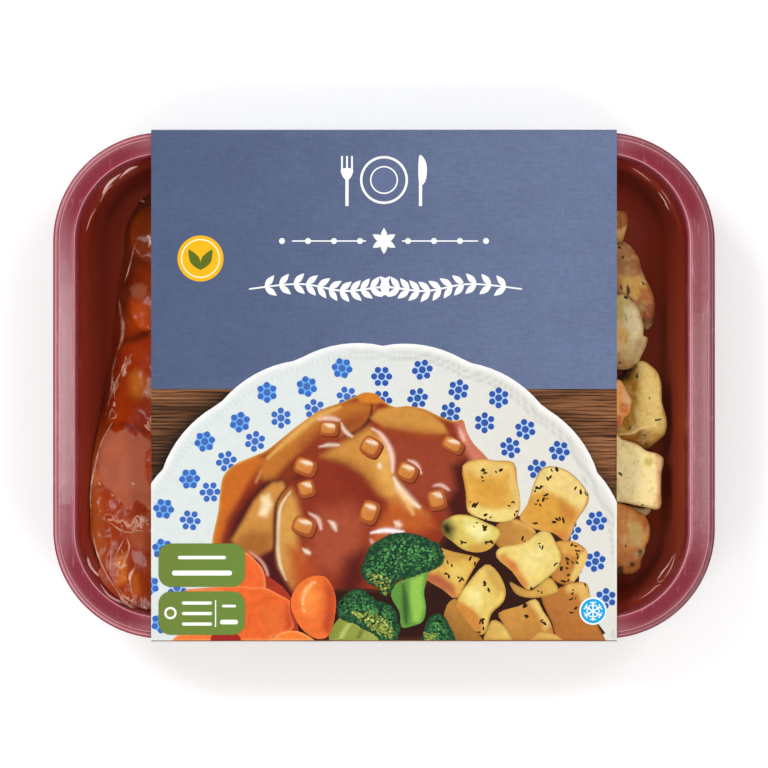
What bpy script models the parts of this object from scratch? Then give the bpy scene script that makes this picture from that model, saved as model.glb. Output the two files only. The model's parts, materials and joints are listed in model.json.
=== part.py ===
"""Chilled ready meal pack: a rimmed plastic tray of roast pork in gravy and herb roast potatoes.

A clear lidding film closes the tray and a card sleeve goes round its middle, the short way.
Metres, +Z up, origin at the middle of the sleeve's base. +X is the tray's long side.
"""

import math
import random
from collections import namedtuple

import bmesh
import bpy
from mathutils import Vector

MM = 0.001

# Clearance between touching pieces, and the sheet thicknesses
GAP = 0.3 * MM
CARD_THICKNESS = 0.5 * MM
TRAY_THICKNESS = 0.6 * MM
FILM_THICKNESS = 0.3 * MM

# Tray, measured over its rim
TRAY_LENGTH = 221 * MM
TRAY_WIDTH = 169 * MM
TRAY_HEIGHT = 38 * MM
CORNER_RADIUS = 36.5 * MM
CORNER_STEPS = 8

# Tray section from the skirt's lower edge to the base: inset from the rim's outline, drop below the rim's top
SKIRT = ((0.0, 3.0), (0.0, 1.1), (0.3, 0.55), (0.9, 0.3), (1.7, 0.25))
SEALING_FLANGE = ((2.1, 0.0), (6.8, 0.0), (7.3, 0.2), (7.6, 0.8))
LEDGE = ((8.9, 7.0), (9.6, 8.0), (11.0, 8.5), (11.7, 9.5))
LOWER_WALL = ((13.6, 28.0), (14.8, 32.0), (16.8, 34.9), (19.8, 36.6), (23.5, 37.2))
FLOOR_DROP = 37.4
FLOOR_INSET = 32.0

# Film
FILM_INSET = 1.9 * MM

# Sleeve: its length along the tray, and its section's half width at the rim and at the base
SLEEVE_LENGTH = 155.2 * MM
SLEEVE_HALF_WIDTH = TRAY_WIDTH / 2 + GAP + CARD_THICKNESS
SLEEVE_BASE_HALF_WIDTH = 70 * MM
SLEEVE_CREASE_DROP = 5.4 * MM
SLEEVE_TOP_RADIUS = 0.8 * MM
SLEEVE_BASE_RADIUS = 1.5 * MM
SLEEVE_BEND_STEPS = 3

# Heights above the surface the pack rests on
TRAY_BASE = CARD_THICKNESS + GAP
RIM_TOP = TRAY_BASE + TRAY_HEIGHT
FILM_BASE = RIM_TOP + GAP
SLEEVE_TOP = FILM_BASE + FILM_THICKNESS + GAP + CARD_THICKNESS
FOOD_BASE = RIM_TOP - FLOOR_DROP * MM + GAP

# Gravy: how its left edge, as (y, x) in mm, and its depth, as (y, depth) in mm, change along the tray's width
GRAVY_LEFT_EDGE = ((-90, -125), (-31, -119), (-15, -104.7), (-5, -99.5), (12, -96.5), (48, -93.4), (66, -83))
GRAVY_DEPTH = ((-90, 35.5), (-74, 34), (-40, 29), (-18, 26), (-6, 20.5), (70, 18.5))
GRAVY_FAR_EDGE = 66.0
GRAVY_FRONT = 10.0
GRAVY_BASE_DROP = 38.4
GRAVY_SHOULDER = 6.0
GRAVY_EDGE_BLEND = 3.0
GRAVY_RIPPLE = 0.6
GRAVY_RIPPLE_LENGTH = (46, 57)
GRAVY_CELL = 6.0
GRAVY_LEAST_DROP = 1.6

# Pork slices, which lean on one another like tiles
SLICE_COUNT = 3
SLICE_SIZE = Vector((74, 31, 7)) * MM
SLICE_FIRST = Vector((-50, 51, 11.8)) * MM
SLICE_STEP = Vector((0, -24, 1.4)) * MM
SLICE_TILT = math.radians(24)
SLICE_CLEARANCE = 1.3 * GAP

# How much larger a slice's cage is than the slice, which subdivision draws in, and how round its ends are
CAGE_SWELL = Vector((1.04, 1.04, 1.1))
SLICE_ROUNDNESS = 0.65

# Potato pieces at the clear end, in mm: a piece's plan outline, the middle that it draws in to,
# its top's height, the top's slope along x and y, and how far its crown dips
Potato = namedtuple("Potato", "outline middle top slope dip", defaults=((0, 0), 0))
SHOWN_POTATOES = (
    Potato(((63, 59), (77, 59.5), (82, 56.5), (82, 51), (78, 48.6), (63, 49.4)),
           (73, 54), 19, (-0.1, 0.1)),
    Potato(((66, 47.6), (80.5, 48), (86, 42), (90.8, 30), (90.6, 21), (88, 18.4), (84.6, 31.9), (70, 34.5)),
           (84.3, 38.5), 21, (-0.2, 0)),
    Potato(((61.5, 31), (83, 30.8), (86.3, 21), (87.3, 14.5), (85, 8.2), (82, 5.8), (61.5, 6)),
           (75, 18), 26, (-0.1, 0)),
    Potato(((83.4, 4), (87.2, 7), (91.2, 4.5), (93.2, -5), (94.8, -11), (93.8, -16), (88.5, -20.4),
            (79.6, -17.4), (84, -5)),
           (88.4, -6.6), 23, (0.05, 0.25), 2.5),
    Potato(((66, 3.4), (79.5, 2.2), (82.6, -5.1), (79.3, -13.2), (77.2, -16), (66, -15.6)),
           (74, -7), 25, (-0.3, 0.1)),
    Potato(((62, -17.6), (79, -18.9), (88.5, -22.2), (93.4, -25), (92.9, -40), (88.4, -41), (62, -38.6)),
           (79, -30), 24, (0.05, -0.05)),
    Potato(((64, -40.2), (80.6, -41.8), (87.9, -43.6), (89.4, -47.5), (88, -54), (85.5, -61), (82, -63.5),
            (64, -62.5)),
           (77, -52), 20, (-0.15, 0.1)),
)

# Potato pieces carried on under the sleeve, in two columns
HIDDEN_COLUMNS = (49, 26)
HIDDEN_ROWS = 6
HIDDEN_PITCH = 21.8
HIDDEN_HALF_SIDE = 9.6
HIDDEN_UNEVENNESS = 0.9
HIDDEN_SLOPE = 0.15
HIDDEN_TOP = (17, 23)
HIDDEN_SEED = 11

# How a potato piece draws in below and above its widest part, as (scale, share of the height)
POTATO_RINGS = ((0.62, 0.0), (0.98, 0.26), (1.0, 0.74), (0.84, 1.0))
POTATO_CROWN_SCALE = 0.4
POTATO_CROWN_RISE = 0.4


def clear_scene():
    for thing in list(bpy.data.objects):
        bpy.data.objects.remove(thing, do_unlink=True)


def new_collection(name, hidden=False):
    collection = bpy.data.collections.new(name)
    bpy.context.scene.collection.children.link(collection)
    collection.hide_render = hidden
    return collection


def plain_material(name, colour, roughness, metallic=0.0, transmission=0.0):
    material = bpy.data.materials.new(name)
    material.use_nodes = True
    shader = material.node_tree.nodes["Principled BSDF"]
    shader.inputs["Base Color"].default_value = (*colour, 1.0)
    shader.inputs["Roughness"].default_value = roughness
    shader.inputs["Metallic"].default_value = metallic
    shader.inputs["Transmission Weight"].default_value = transmission
    return material


def new_object(name, mesh, collection, material=None):
    thing = bpy.data.objects.new(name, mesh)
    collection.objects.link(thing)
    if material is not None:
        mesh.materials.append(material)
    return thing


def as_cutter(thing):
    thing.hide_render = True
    thing.display_type = "WIRE"
    return thing


def add_boolean(thing, operation, other):
    modifier = thing.modifiers.new(operation.title(), "BOOLEAN")
    modifier.operation = operation
    modifier.solver = "EXACT"
    modifier.object = other
    return modifier


def add_solidify(thing, thickness):
    modifier = thing.modifiers.new("Solidify", "SOLIDIFY")
    modifier.thickness = thickness
    modifier.offset = -1.0
    modifier.use_even_offset = True
    return modifier


def add_subdivision(thing):
    modifier = thing.modifiers.new("Subdivision", "SUBSURF")
    modifier.levels = 1
    modifier.render_levels = 1
    return modifier


def shade_round(mesh, degrees=35):
    mesh.shade_smooth()
    mesh.set_sharp_from_angle(angle=math.radians(degrees))


def between(pairs, value):
    """The second number of the pairs at this value of the first, along straight lines."""
    for (low, at_low), (high, at_high) in zip(pairs, pairs[1:]):
        if value <= high:
            share = max(0.0, (value - low) / (high - low))
            return at_low + share * (at_high - at_low)
    return pairs[-1][1]


def rounded_ring(inset, height):
    """A level ring of the tray's rounded rectangle, drawn in by an inset."""
    radius = max(CORNER_RADIUS - inset, 2 * MM)
    reach_x = TRAY_LENGTH / 2 - inset - radius
    reach_y = TRAY_WIDTH / 2 - inset - radius
    points = []
    for corner in range(4):
        side_x = 1 if corner in (0, 3) else -1
        side_y = 1 if corner < 2 else -1
        for step in range(CORNER_STEPS + 1):
            angle = math.radians(90) * (corner + step / CORNER_STEPS)
            x = side_x * reach_x + radius * math.cos(angle)
            y = side_y * reach_y + radius * math.sin(angle)
            points.append(Vector((x, y, height)))
    return points


def loft(name, rings, close_first, close_last):
    """A mesh through closed rings of equal length."""
    mesh = bpy.data.meshes.new(name)
    shape = bmesh.new()
    rows = [[shape.verts.new(point) for point in ring] for ring in rings]
    for row, following in zip(rows, rows[1:]):
        for index in range(len(row)):
            after = (index + 1) % len(row)
            shape.faces.new((row[index], row[after], following[after], following[index]))
    if close_first:
        shape.faces.new(list(reversed(rows[0])))
    if close_last:
        shape.faces.new(rows[-1])
    bmesh.ops.recalc_face_normals(shape, faces=shape.faces[:])
    shape.to_mesh(mesh)
    shape.free()
    return mesh


def make_tray(collection):
    section = (*SKIRT, *SEALING_FLANGE, *LEDGE, *LOWER_WALL, (FLOOR_INSET, FLOOR_DROP))
    rings = [rounded_ring(inset * MM, RIM_TOP - drop * MM) for inset, drop in section]
    mesh = loft("tray", rings, close_first=False, close_last=True)
    if mesh.polygons[-1].normal.z < 0:
        mesh.flip_normals()
    shade_round(mesh)
    material = plain_material("tray_plastic", (0.30, 0.045, 0.065), 0.3)
    tray = new_object("tray", mesh, collection, material)
    add_solidify(tray, TRAY_THICKNESS)


def make_film(collection):
    mesh = loft("lidding_film", [
        rounded_ring(FILM_INSET, FILM_BASE),
        rounded_ring(FILM_INSET, FILM_BASE + FILM_THICKNESS),
    ], close_first=True, close_last=True)
    material = plain_material("clear_film", (0.95, 0.95, 0.95), 0.05, transmission=1.0)
    new_object("lidding_film", mesh, collection, material)


def bend(centre_y, centre_z, radius, start, stop):
    """Points of a crease in the sleeve's section, from one angle to another in degrees."""
    points = []
    for step in range(SLEEVE_BEND_STEPS + 1):
        angle = math.radians(start + (stop - start) * step / SLEEVE_BEND_STEPS)
        points.append((centre_y + radius * math.cos(angle), centre_z + radius * math.sin(angle)))
    return points


def sleeve_section():
    """Half of the sleeve's outer section as (y, z), from the top crease down to the base."""
    crease_z = SLEEVE_TOP - SLEEVE_CREASE_DROP
    lean = math.degrees(math.atan2(SLEEVE_HALF_WIDTH - SLEEVE_BASE_HALF_WIDTH, crease_z))
    radius = SLEEVE_TOP_RADIUS
    top = bend(SLEEVE_HALF_WIDTH - radius, SLEEVE_TOP - radius, radius, 90, 0)
    inward = SLEEVE_BASE_RADIUS * math.tan(math.radians(45 - lean / 2))
    base = bend(SLEEVE_BASE_HALF_WIDTH - inward, SLEEVE_BASE_RADIUS, SLEEVE_BASE_RADIUS, -lean, -90)
    return [*top, (SLEEVE_HALF_WIDTH, crease_z), *base]


def make_sleeve(collection):
    right = sleeve_section()
    left = [(-y, z) for y, z in reversed(right)]
    section = right + left
    rings = [[Vector((end * SLEEVE_LENGTH / 2, y, z)) for y, z in section] for end in (-1, 1)]
    mesh = loft("card_sleeve", rings, close_first=False, close_last=False)
    top_face = max(mesh.polygons, key=lambda face: face.center.z)
    if top_face.normal.z < 0:
        mesh.flip_normals()
    material = plain_material("printed_card", (0.12, 0.16, 0.28), 0.55)
    sleeve = new_object("card_sleeve", mesh, collection, material)
    add_solidify(sleeve, CARD_THICKNESS)


def gravy_drop(x, y):
    """How far the gravy's surface is below the rim, in mm: a mound that floods the near corner."""
    edges = (x - between(GRAVY_LEFT_EDGE, y), GRAVY_FAR_EDGE - y, GRAVY_FRONT - x)
    nearest = -GRAVY_EDGE_BLEND * math.log(sum(math.exp(-edge / GRAVY_EDGE_BLEND) for edge in edges))
    depth = between(GRAVY_DEPTH, y)
    rise = depth * (1 - math.exp(-nearest / GRAVY_SHOULDER)) if nearest > 0 else nearest
    along, across = (math.tau * value / length for value, length in zip((x, y), GRAVY_RIPPLE_LENGTH))
    ripple = GRAVY_RIPPLE * math.sin(along) * math.cos(across) if nearest > GRAVY_SHOULDER else 0
    return GRAVY_BASE_DROP - rise - ripple


def make_gravy_block(cutters):
    """A block whose top is the gravy's surface, wider than the tray and deeper than its base."""
    x_low, x_high = -TRAY_LENGTH / MM / 2, GRAVY_FRONT + GRAVY_CELL
    y_reach = TRAY_WIDTH / MM / 2
    columns = round((x_high - x_low) / GRAVY_CELL)
    rows = round(2 * y_reach / GRAVY_CELL)
    shape = bmesh.new()
    bmesh.ops.create_grid(shape, x_segments=columns, y_segments=rows, size=0.5)
    for vert in shape.verts:
        x = x_low + (vert.co.x + 0.5) * (x_high - x_low)
        y = 2 * y_reach * vert.co.y
        vert.co = Vector((x * MM, y * MM, RIM_TOP - gravy_drop(x, y) * MM))
    top = shape.faces[:]
    lower = bmesh.ops.extrude_face_region(shape, geom=top, use_keep_orig=True)["geom"]
    for vert in (item for item in lower if isinstance(item, bmesh.types.BMVert)):
        vert.co.z = -TRAY_BASE
    bmesh.ops.recalc_face_normals(shape, faces=shape.faces[:])
    mesh = bpy.data.meshes.new("gravy_block")
    shape.to_mesh(mesh)
    shape.free()
    return as_cutter(new_object("gravy_block", mesh, cutters))


def slice_mesh(name, grow):
    """The cage of a rounded slab in its own frame, each side moved out by this much."""
    shape = bmesh.new()
    bmesh.ops.create_cube(shape, size=2.0)
    bmesh.ops.subdivide_edges(shape, edges=shape.edges[:], cuts=2, use_grid_fill=True)
    reach = Vector(size / 2 + grow for size in SLICE_SIZE) * CAGE_SWELL
    for vert in shape.verts:
        flat = vert.co.xy
        squareness = max(abs(flat.x), abs(flat.y)) / max(flat.length, 0.01)
        flat *= 1 - SLICE_ROUNDNESS * (1 - squareness)
        vert.co = Vector((flat.x, flat.y, vert.co.z)) * reach
    mesh = bpy.data.meshes.new(name)
    shape.to_mesh(mesh)
    shape.free()
    return mesh


def place_slice(piece, index):
    piece.location = SLICE_FIRST + index * SLICE_STEP
    piece.rotation_euler = (-SLICE_TILT, 0, 0)
    add_subdivision(piece)
    return piece


def make_pork(collection, cutters):
    """The slices, and a slightly larger copy of each that cuts the gravy."""
    material = plain_material("roast_pork", (0.45, 0.14, 0.03), 0.35)
    spaces = []
    for index in range(SLICE_COUNT):
        name = f"pork_slice_{index + 1}"
        place_slice(new_object(name, slice_mesh(name, 0), collection, material), index)
        space = new_object(f"{name}_space", slice_mesh(name, SLICE_CLEARANCE), cutters)
        spaces.append(as_cutter(place_slice(space, index)))
    return spaces


def gravy_fill():
    """What would fill the tray to just below its rim, clear of the wall by the gap."""
    gap = GAP / MM
    rings = []
    for inset, drop in (*SEALING_FLANGE[-1:], *LEDGE, *LOWER_WALL):
        lowered = max(drop, GRAVY_LEAST_DROP)
        if (inset, drop) in LOWER_WALL[1:]:
            lowered -= gap
        rings.append(rounded_ring((inset + gap) * MM, RIM_TOP - lowered * MM))
    rings.append(rounded_ring(FLOOR_INSET * MM, FOOD_BASE))
    return loft("gravy", rings, close_first=True, close_last=True)


def make_gravy(collection, cutters):
    """The fill up to the mound's surface, cut round the slices."""
    block = make_gravy_block(cutters)
    spaces = make_pork(collection, cutters)
    material = plain_material("gravy", (0.36, 0.075, 0.008), 0.15)
    gravy = new_object("gravy", gravy_fill(), collection, material)
    add_boolean(gravy, "INTERSECT", block)
    for space in spaces:
        add_boolean(gravy, "DIFFERENCE", space)


def with_side_points(corners):
    """The outline with a point added in the middle of each side."""
    points = []
    for corner, after in zip(corners, corners[1:] + corners[:1]):
        points += [corner, (corner + after) / 2]
    return points


def potato_ring(plan, centre, scale, level, lean):
    """One ring of a potato piece at a level in mm, sloped by its lean."""
    ring = []
    for point in plan:
        offset = (point - centre) * scale
        ring.append(Vector((*(centre + offset), level + offset.dot(lean))) * MM)
    return ring


def make_potato(name, piece, collection, material):
    """A piece whose sides draw in below and above, and whose crown can dip."""
    base = FOOD_BASE / MM
    middle = Vector(piece.middle)
    slope = Vector(piece.slope)
    height = piece.top - base
    rings = [potato_ring(piece.outline, middle, scale, base + height * share, slope * share)
             for scale, share in POTATO_RINGS]
    crown = piece.top + POTATO_CROWN_RISE - piece.dip
    rings.append(potato_ring(piece.outline, middle, POTATO_CROWN_SCALE, crown, slope))
    mesh = loft(name, rings, close_first=True, close_last=True)
    mesh.shade_smooth()
    add_subdivision(new_object(name, mesh, collection, material))


def hidden_potatoes():
    """Uneven squares in columns, from the tray's far side to its near side."""
    draw = random.Random(HIDDEN_SEED)
    for column_x in HIDDEN_COLUMNS:
        for row in range(HIDDEN_ROWS):
            middle = Vector((column_x, HIDDEN_PITCH * ((HIDDEN_ROWS - 1) / 2 - row)))
            corners = []
            for side in ((-1, -1), (1, -1), (1, 1), (-1, 1)):
                shift = Vector((draw.uniform(-1, 1), draw.uniform(-1, 1))) * HIDDEN_UNEVENNESS
                corners.append(middle + Vector(side) * HIDDEN_HALF_SIDE + shift)
            slope = [draw.uniform(-HIDDEN_SLOPE, HIDDEN_SLOPE) for _ in range(2)]
            yield Potato(corners, middle, draw.uniform(*HIDDEN_TOP), slope)


def make_potatoes(collection):
    material = plain_material("roast_potato", (0.72, 0.50, 0.17), 0.5)
    for index, piece in enumerate(SHOWN_POTATOES):
        outline = with_side_points([Vector(point) for point in reversed(piece.outline)])
        make_potato(f"potato_{index + 1}", piece._replace(outline=outline), collection, material)
    for index, piece in enumerate(hidden_potatoes()):
        make_potato(f"potato_under_sleeve_{index + 1}", piece, collection, material)


def main():
    clear_scene()
    pack = new_collection("ready_meal_pack")
    cutters = new_collection("cutters", hidden=True)
    make_tray(pack)
    make_film(pack)
    make_sleeve(pack)
    make_gravy(pack, cutters)
    make_potatoes(pack)


main()
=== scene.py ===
"""Looks of the ready meal pack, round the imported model: metres, +Z up, photo right +X, photo up +Y."""

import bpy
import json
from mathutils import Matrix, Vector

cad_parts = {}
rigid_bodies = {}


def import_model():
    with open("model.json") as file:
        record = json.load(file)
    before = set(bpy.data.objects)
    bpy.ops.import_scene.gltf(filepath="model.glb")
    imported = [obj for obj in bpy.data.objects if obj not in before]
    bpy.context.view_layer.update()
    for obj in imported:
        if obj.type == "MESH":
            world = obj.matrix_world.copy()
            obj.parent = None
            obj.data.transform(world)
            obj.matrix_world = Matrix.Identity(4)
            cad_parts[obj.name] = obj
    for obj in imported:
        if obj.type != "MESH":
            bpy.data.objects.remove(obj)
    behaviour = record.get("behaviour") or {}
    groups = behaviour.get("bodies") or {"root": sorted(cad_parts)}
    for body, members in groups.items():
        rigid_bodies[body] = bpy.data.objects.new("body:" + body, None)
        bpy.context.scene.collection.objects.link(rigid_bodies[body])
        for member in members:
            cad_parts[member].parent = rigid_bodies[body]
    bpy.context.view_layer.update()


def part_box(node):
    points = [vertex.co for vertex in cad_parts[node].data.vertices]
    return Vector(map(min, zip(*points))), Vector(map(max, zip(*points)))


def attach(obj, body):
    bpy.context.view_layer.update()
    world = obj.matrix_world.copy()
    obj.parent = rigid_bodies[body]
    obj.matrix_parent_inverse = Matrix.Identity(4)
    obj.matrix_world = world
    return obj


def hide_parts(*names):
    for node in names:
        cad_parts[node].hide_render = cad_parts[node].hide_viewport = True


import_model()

import json
import math
import random

import bmesh
import bpy
import numpy as np
from mathutils import Matrix, Vector, noise
from mathutils.bvhtree import BVHTree
from mathutils.geometry import delaunay_2d_cdt

MM = 0.001

# Heights and outlines that the frame gives
SLEEVE_LOW, SLEEVE_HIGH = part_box("card_sleeve")
TRAY_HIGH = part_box("tray")[1]
RIM_TOP = TRAY_HIGH.z
SLEEVE_TOP = SLEEVE_HIGH.z
TRAY_REACH = Vector((TRAY_HIGH.x, TRAY_HIGH.y))

# The photograph: its scale on the sleeve's top, and the pixel over the origin
PX = 1 / 3 * MM
CENTRE_PX = Vector((384.0, 385.5))
FRAME_PX = 768
LENS = 160.0
SENSOR = 36.0

# Tray section as in the solid, as (inset, drop below the rim's top) in mm, with its bends rounded.
# The wall has a step in the corners, which fades out along the sides.
TRAY_THICKNESS = 0.6 * MM
CORNER_RADIUS = 36.5 * MM
CORNER_STEPS = 28
SIDE_STEPS = 24
TRAY_SECTION = (
    (0.0, 3.0), (0.0, 0.42), (0.75, 0.28), (1.45, 0.5), (1.75, 0.5), (2.05, 0.0), (4.4, 0.05), (6.9, 0.0),
    (7.4, 0.35), (8.9, 7.2), (9.5, 8.1), (11.1, 8.5), (11.8, 9.6), (13.7, 28.0), (15.2, 33.4), (19.5, 36.7),
    (23.5, 37.3), (32.0, 37.4),
)
TRAY_BENDS = (0, 0.35, 0.5, 0.25, 0.12, 0.16, 2.0, 0.35, 0.5, 1.2, 0.8, 0.7, 1.2, 4.0, 4.0, 4.0, 3.0, 0)
TRAY_SIDE_WALL = ((8.3, 2.9), (9.3, 5.9), (10.3, 9.0), (11.3, 12.8))
STEP_FROM = 9
# How much further in the flange's inner edge lies at the right end, as (inset, shift) in mm
FLANGE_SHIFT = ((6.0, 0.0), (6.8, 1.0), (7.1, 1.05), (7.45, 1.45), (9.4, 0.5), (11.0, 0.0))
TRAY_SIDE_SECTION = TRAY_SECTION[:STEP_FROM] + TRAY_SIDE_WALL + TRAY_SECTION[STEP_FROM + len(TRAY_SIDE_WALL):]
BEND_STEPS = 5

# Painted highlight and shade lines along the rim's edges, as an inset in mm, a width and a strength
HIGHLIGHT_LINES = ((2.02, 0.14, 0.95), (7.08, 0.12, 0.85), (7.45, 0.07, 0.15), (1.0, 0.35, 0.4))
SHADE_LINES = ((1.62, 0.14, 0.8), (0.0, 0.3, 0.7), (2.6, 0.3, 0.2))
# Between which values, in mm, the tray's paint grows: with the depth, where the wall is painted warmer as
# light from the food; towards the right wall, painted with the food's glow, along x and y from its middle;
# over the step's start and end, where the corners' step is painted in shade; along the rolled edge at the
# right end, which is painted in shade; and on the flange, whose corners are painted in shade
DEPTH_GROWS = (0.4, 9.0)
GLOW_GROWS_X = (60, 100)
GLOW_GROWS_Y = (70, 20)
GLOW_MIDDLE_Y = -15
STEP_STARTS = (8.6, 9.6)
STEP_ENDS = (12.2, 10.8)
ROLL_GROWS_X = (60, 105)
ROLL_ENDS = (1.8, 1.4)
ROLL_SHADE = 0.75
FLANGE_STARTS = (1.6, 2.4)


def photo_mm(px, py):
    """A pixel of the photograph as millimetres on the sleeve's top."""
    return Vector(((px - CENTRE_PX.x) * PX / MM, (CENTRE_PX.y - py) * PX / MM))


def length_mm(pixels):
    """A length in pixels as millimetres on the sleeve's top."""
    return pixels * PX / MM


def heading(angle):
    """The flat direction at an angle in radians from +X."""
    return Vector((math.cos(angle), math.sin(angle)))


def smooth(low, high, value):
    """0 below low, 1 above high, smoothly between."""
    share = min(1.0, max(0.0, (value - low) / (high - low)))
    return share * share * (3 - 2 * share)


def blend(first, second, share):
    return [a + (b - a) * share for a, b in zip(first, second)]


def linear(code):
    """A hex colour as linear RGB."""
    values = [int(code[index:index + 2], 16) / 255 for index in (1, 3, 5)]
    return [v / 12.92 if v <= 0.04045 else ((v + 0.055) / 1.055) ** 2.4 for v in values]


# Building meshes and pieces

def mesh_from(name, points, faces):
    mesh = bpy.data.meshes.new(name)
    mesh.from_pydata([tuple(point) for point in points], [], faces)
    mesh.validate()
    mesh.update()
    return mesh


def add_piece(name, mesh, materials, replaces=(), smooth_angle=None):
    """A piece on the pack's one body, with its finish and the nodes it stands for."""
    piece = bpy.data.objects.new(name, mesh)
    bpy.context.scene.collection.objects.link(piece)
    for material in materials:
        mesh.materials.append(material)
    if smooth_angle is not None:
        mesh.shade_smooth()
        mesh.set_sharp_from_angle(angle=math.radians(smooth_angle))
    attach(piece, "root")
    if replaces:
        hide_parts(*replaces)
    return piece


def set_paint(mesh, name, colours):
    """A colour for each point, which the materials read by name."""
    layer = mesh.color_attributes.new(name, "FLOAT_COLOR", "POINT")
    flat = np.ones((len(mesh.vertices), 4), np.float32)
    colours = np.asarray(colours, np.float32)
    flat[:, :colours.shape[1]] = colours
    layer.data.foreach_set("color", flat.ravel())


def set_grey(mesh, name, values):
    """A paint whose three channels are the same."""
    set_paint(mesh, name, [[value] * 3 for value in values])


def change_mesh(mesh, change):
    """Runs a change on a mesh in its editable form."""
    shape = bmesh.new()
    shape.from_mesh(mesh)
    change(shape)
    shape.to_mesh(mesh)
    shape.free()


# Paths and points

def between(pairs, value):
    """The second number of the pairs at this value of the first, along straight lines."""
    for (low, at_low), (high, at_high) in zip(pairs, pairs[1:]):
        if value <= high:
            share = max(0.0, (value - low) / (high - low))
            return at_low + share * (at_high - at_low)
    return pairs[-1][1]


def photo_path(pixels):
    return [photo_mm(px, py) for px, py in pixels]


def inside(points, outline):
    """Whether each point is inside a closed outline."""
    points = np.asarray(points, float)
    result = np.zeros(len(points), bool)
    corners = [tuple(point)[:2] for point in outline]
    for (x1, y1), (x2, y2) in zip(corners, corners[1:] + corners[:1]):
        if y1 == y2:
            continue
        crosses = (points[:, 1] > y1) != (points[:, 1] > y2)
        reach = x1 + (points[:, 1] - y1) / (y2 - y1) * (x2 - x1)
        result ^= crosses & (points[:, 0] < reach)
    return result


def line_distance(points, path, closed=False):
    """How far each point is from a path, in the path's units."""
    points = np.asarray(points, float)
    path = [np.asarray(tuple(point)[:2], float) for point in path]
    pairs = list(zip(path, path[1:] + path[:1] if closed else path[1:]))
    best = np.full(len(points), 1e9)
    for start, stop in pairs:
        along = stop - start
        length = max(along @ along, 1e-9)
        share = np.clip(((points - start) @ along) / length, 0, 1)
        gap = points - start - share[:, None] * along
        best = np.minimum(best, np.hypot(gap[:, 0], gap[:, 1]))
    return best


def curved(points, steps=4, closed=True):
    """A smooth curve through the points."""
    points = [Vector(point) for point in points]
    count = len(points)
    result = []
    for index in range(count if closed else count - 1):
        if closed:
            before, start, stop, after = (points[(index + shift) % count] for shift in (-1, 0, 1, 2))
        else:
            before, start = points[max(index - 1, 0)], points[index]
            stop, after = points[index + 1], points[min(index + 2, count - 1)]
        for step in range(steps):
            t = step / steps
            square = 2 * before - 5 * start + 4 * stop - after
            cube = 3 * start - before - 3 * stop + after
            result.append(0.5 * (2 * start + (stop - before) * t + square * t ** 2 + cube * t ** 3))
    if not closed:
        result.append(points[-1])
    return result


# Painting by soft areas and lines, in pixels of the photograph

def mixed(colours, code, share):
    share = np.asarray(share)[:, None]
    return colours * (1 - share) + np.array(linear(code)) * share


def area(pixels, code, soft=0.8, strength=1.0):
    """Blends a colour in over an area with a soft edge, in mm."""
    path = photo_path(pixels)

    def apply(points, edge, colours):
        reach = line_distance(points, path, closed=True)
        signed = np.where(inside(points, path), reach, -reach)
        share = np.clip((signed / soft + 1) / 2, 0, 1)
        return mixed(colours, code, share * share * (3 - 2 * share) * strength)
    return apply


def line(pixels, code, width, strength=1.0):
    """Blends a colour in along a path that thins out towards its ends."""
    path = curved(photo_path(pixels), 4, closed=False)
    lengths = np.cumsum([0.0] + [(after - before).length for before, after in zip(path, path[1:])])

    def apply(points, edge, colours):
        away, near = np.full(len(points), 1e9), np.zeros(len(points))
        for before, after, length in zip(path, path[1:], lengths):
            away_here = line_distance(points, [before, after])
            closer = away_here < away
            away = np.where(closer, away_here, away)
            near = np.where(closer, length / lengths[-1], near)
        taper = 0.25 + 0.75 * np.sin(math.pi * np.clip(near, 0.03, 0.97)) ** 0.7
        return mixed(colours, code, np.exp(-(away / (width * taper) * 2) ** 2) * strength)
    return apply


def border(code, width, strength=1.0):
    """Blends a colour in along the patch's own edge."""
    def apply(points, edge, colours):
        return mixed(colours, code, np.clip(1 - edge / width, 0, 1) ** 1.5 * strength)
    return apply


def slope(code, turn, strength=1.0):
    """Blends a colour in towards one side of the patch, given as degrees from +X."""
    way = np.array([math.cos(math.radians(turn)), math.sin(math.radians(turn))])

    def apply(points, edge, colours):
        along = points @ way
        share = (along - along.min()) / max(along.max() - along.min(), 1e-6)
        return mixed(colours, code, share * strength)
    return apply


def painted(code, *steps):
    """A patch's paint: a colour, then each step over it."""
    def paint(points, edge):
        colours = np.tile(np.array(linear(code)), (len(points), 1))
        for step in steps:
            colours = step(points, edge, colours)
        return colours
    return paint


def inset_of(x, y):
    """How far a point in mm is inside the rim's outline."""
    reach = TRAY_REACH / MM
    radius = CORNER_RADIUS / MM
    over = Vector((max(0.0, abs(x) - (reach.x - radius)), max(0.0, abs(y) - (reach.y - radius))))
    if over.x > 0 and over.y > 0:
        return radius - over.length
    return min(reach.x - abs(x), reach.y - abs(y))


def view_scale(height):
    """How much further out a point at a height in mm lies than it looks on the sleeve's top."""
    distance = FRAME_PX * PX * LENS / SENSOR
    return (distance + SLEEVE_TOP - height * MM) / distance


def corner_share(x, y):
    """1 well inside a corner of the tray, 0 along its sides."""
    over = Vector((abs(x), abs(y))) - (TRAY_REACH - Vector((CORNER_RADIUS, CORNER_RADIUS))) / MM
    if over.x <= 0 or over.y <= 0:
        return 0.0
    turn = math.atan2(over.y, over.x) / math.radians(90)
    return smooth(0.0, 0.28, turn) * smooth(0.0, 0.28, 1 - turn)


def wall_drop(x, y, inset):
    """How far the tray's inside is below the rim at a place, in mm."""
    sections = TRAY_SECTION, TRAY_SIDE_SECTION
    stepped, plain = (between(section[STEP_FROM - 1:], inset) for section in sections)
    return plain + (stepped - plain) * corner_share(x, y)


# Materials

INK_ROUGHNESS = 0.7
INK_GLOSS = 0.15
FIBRE_SHADE = 0.18


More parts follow.
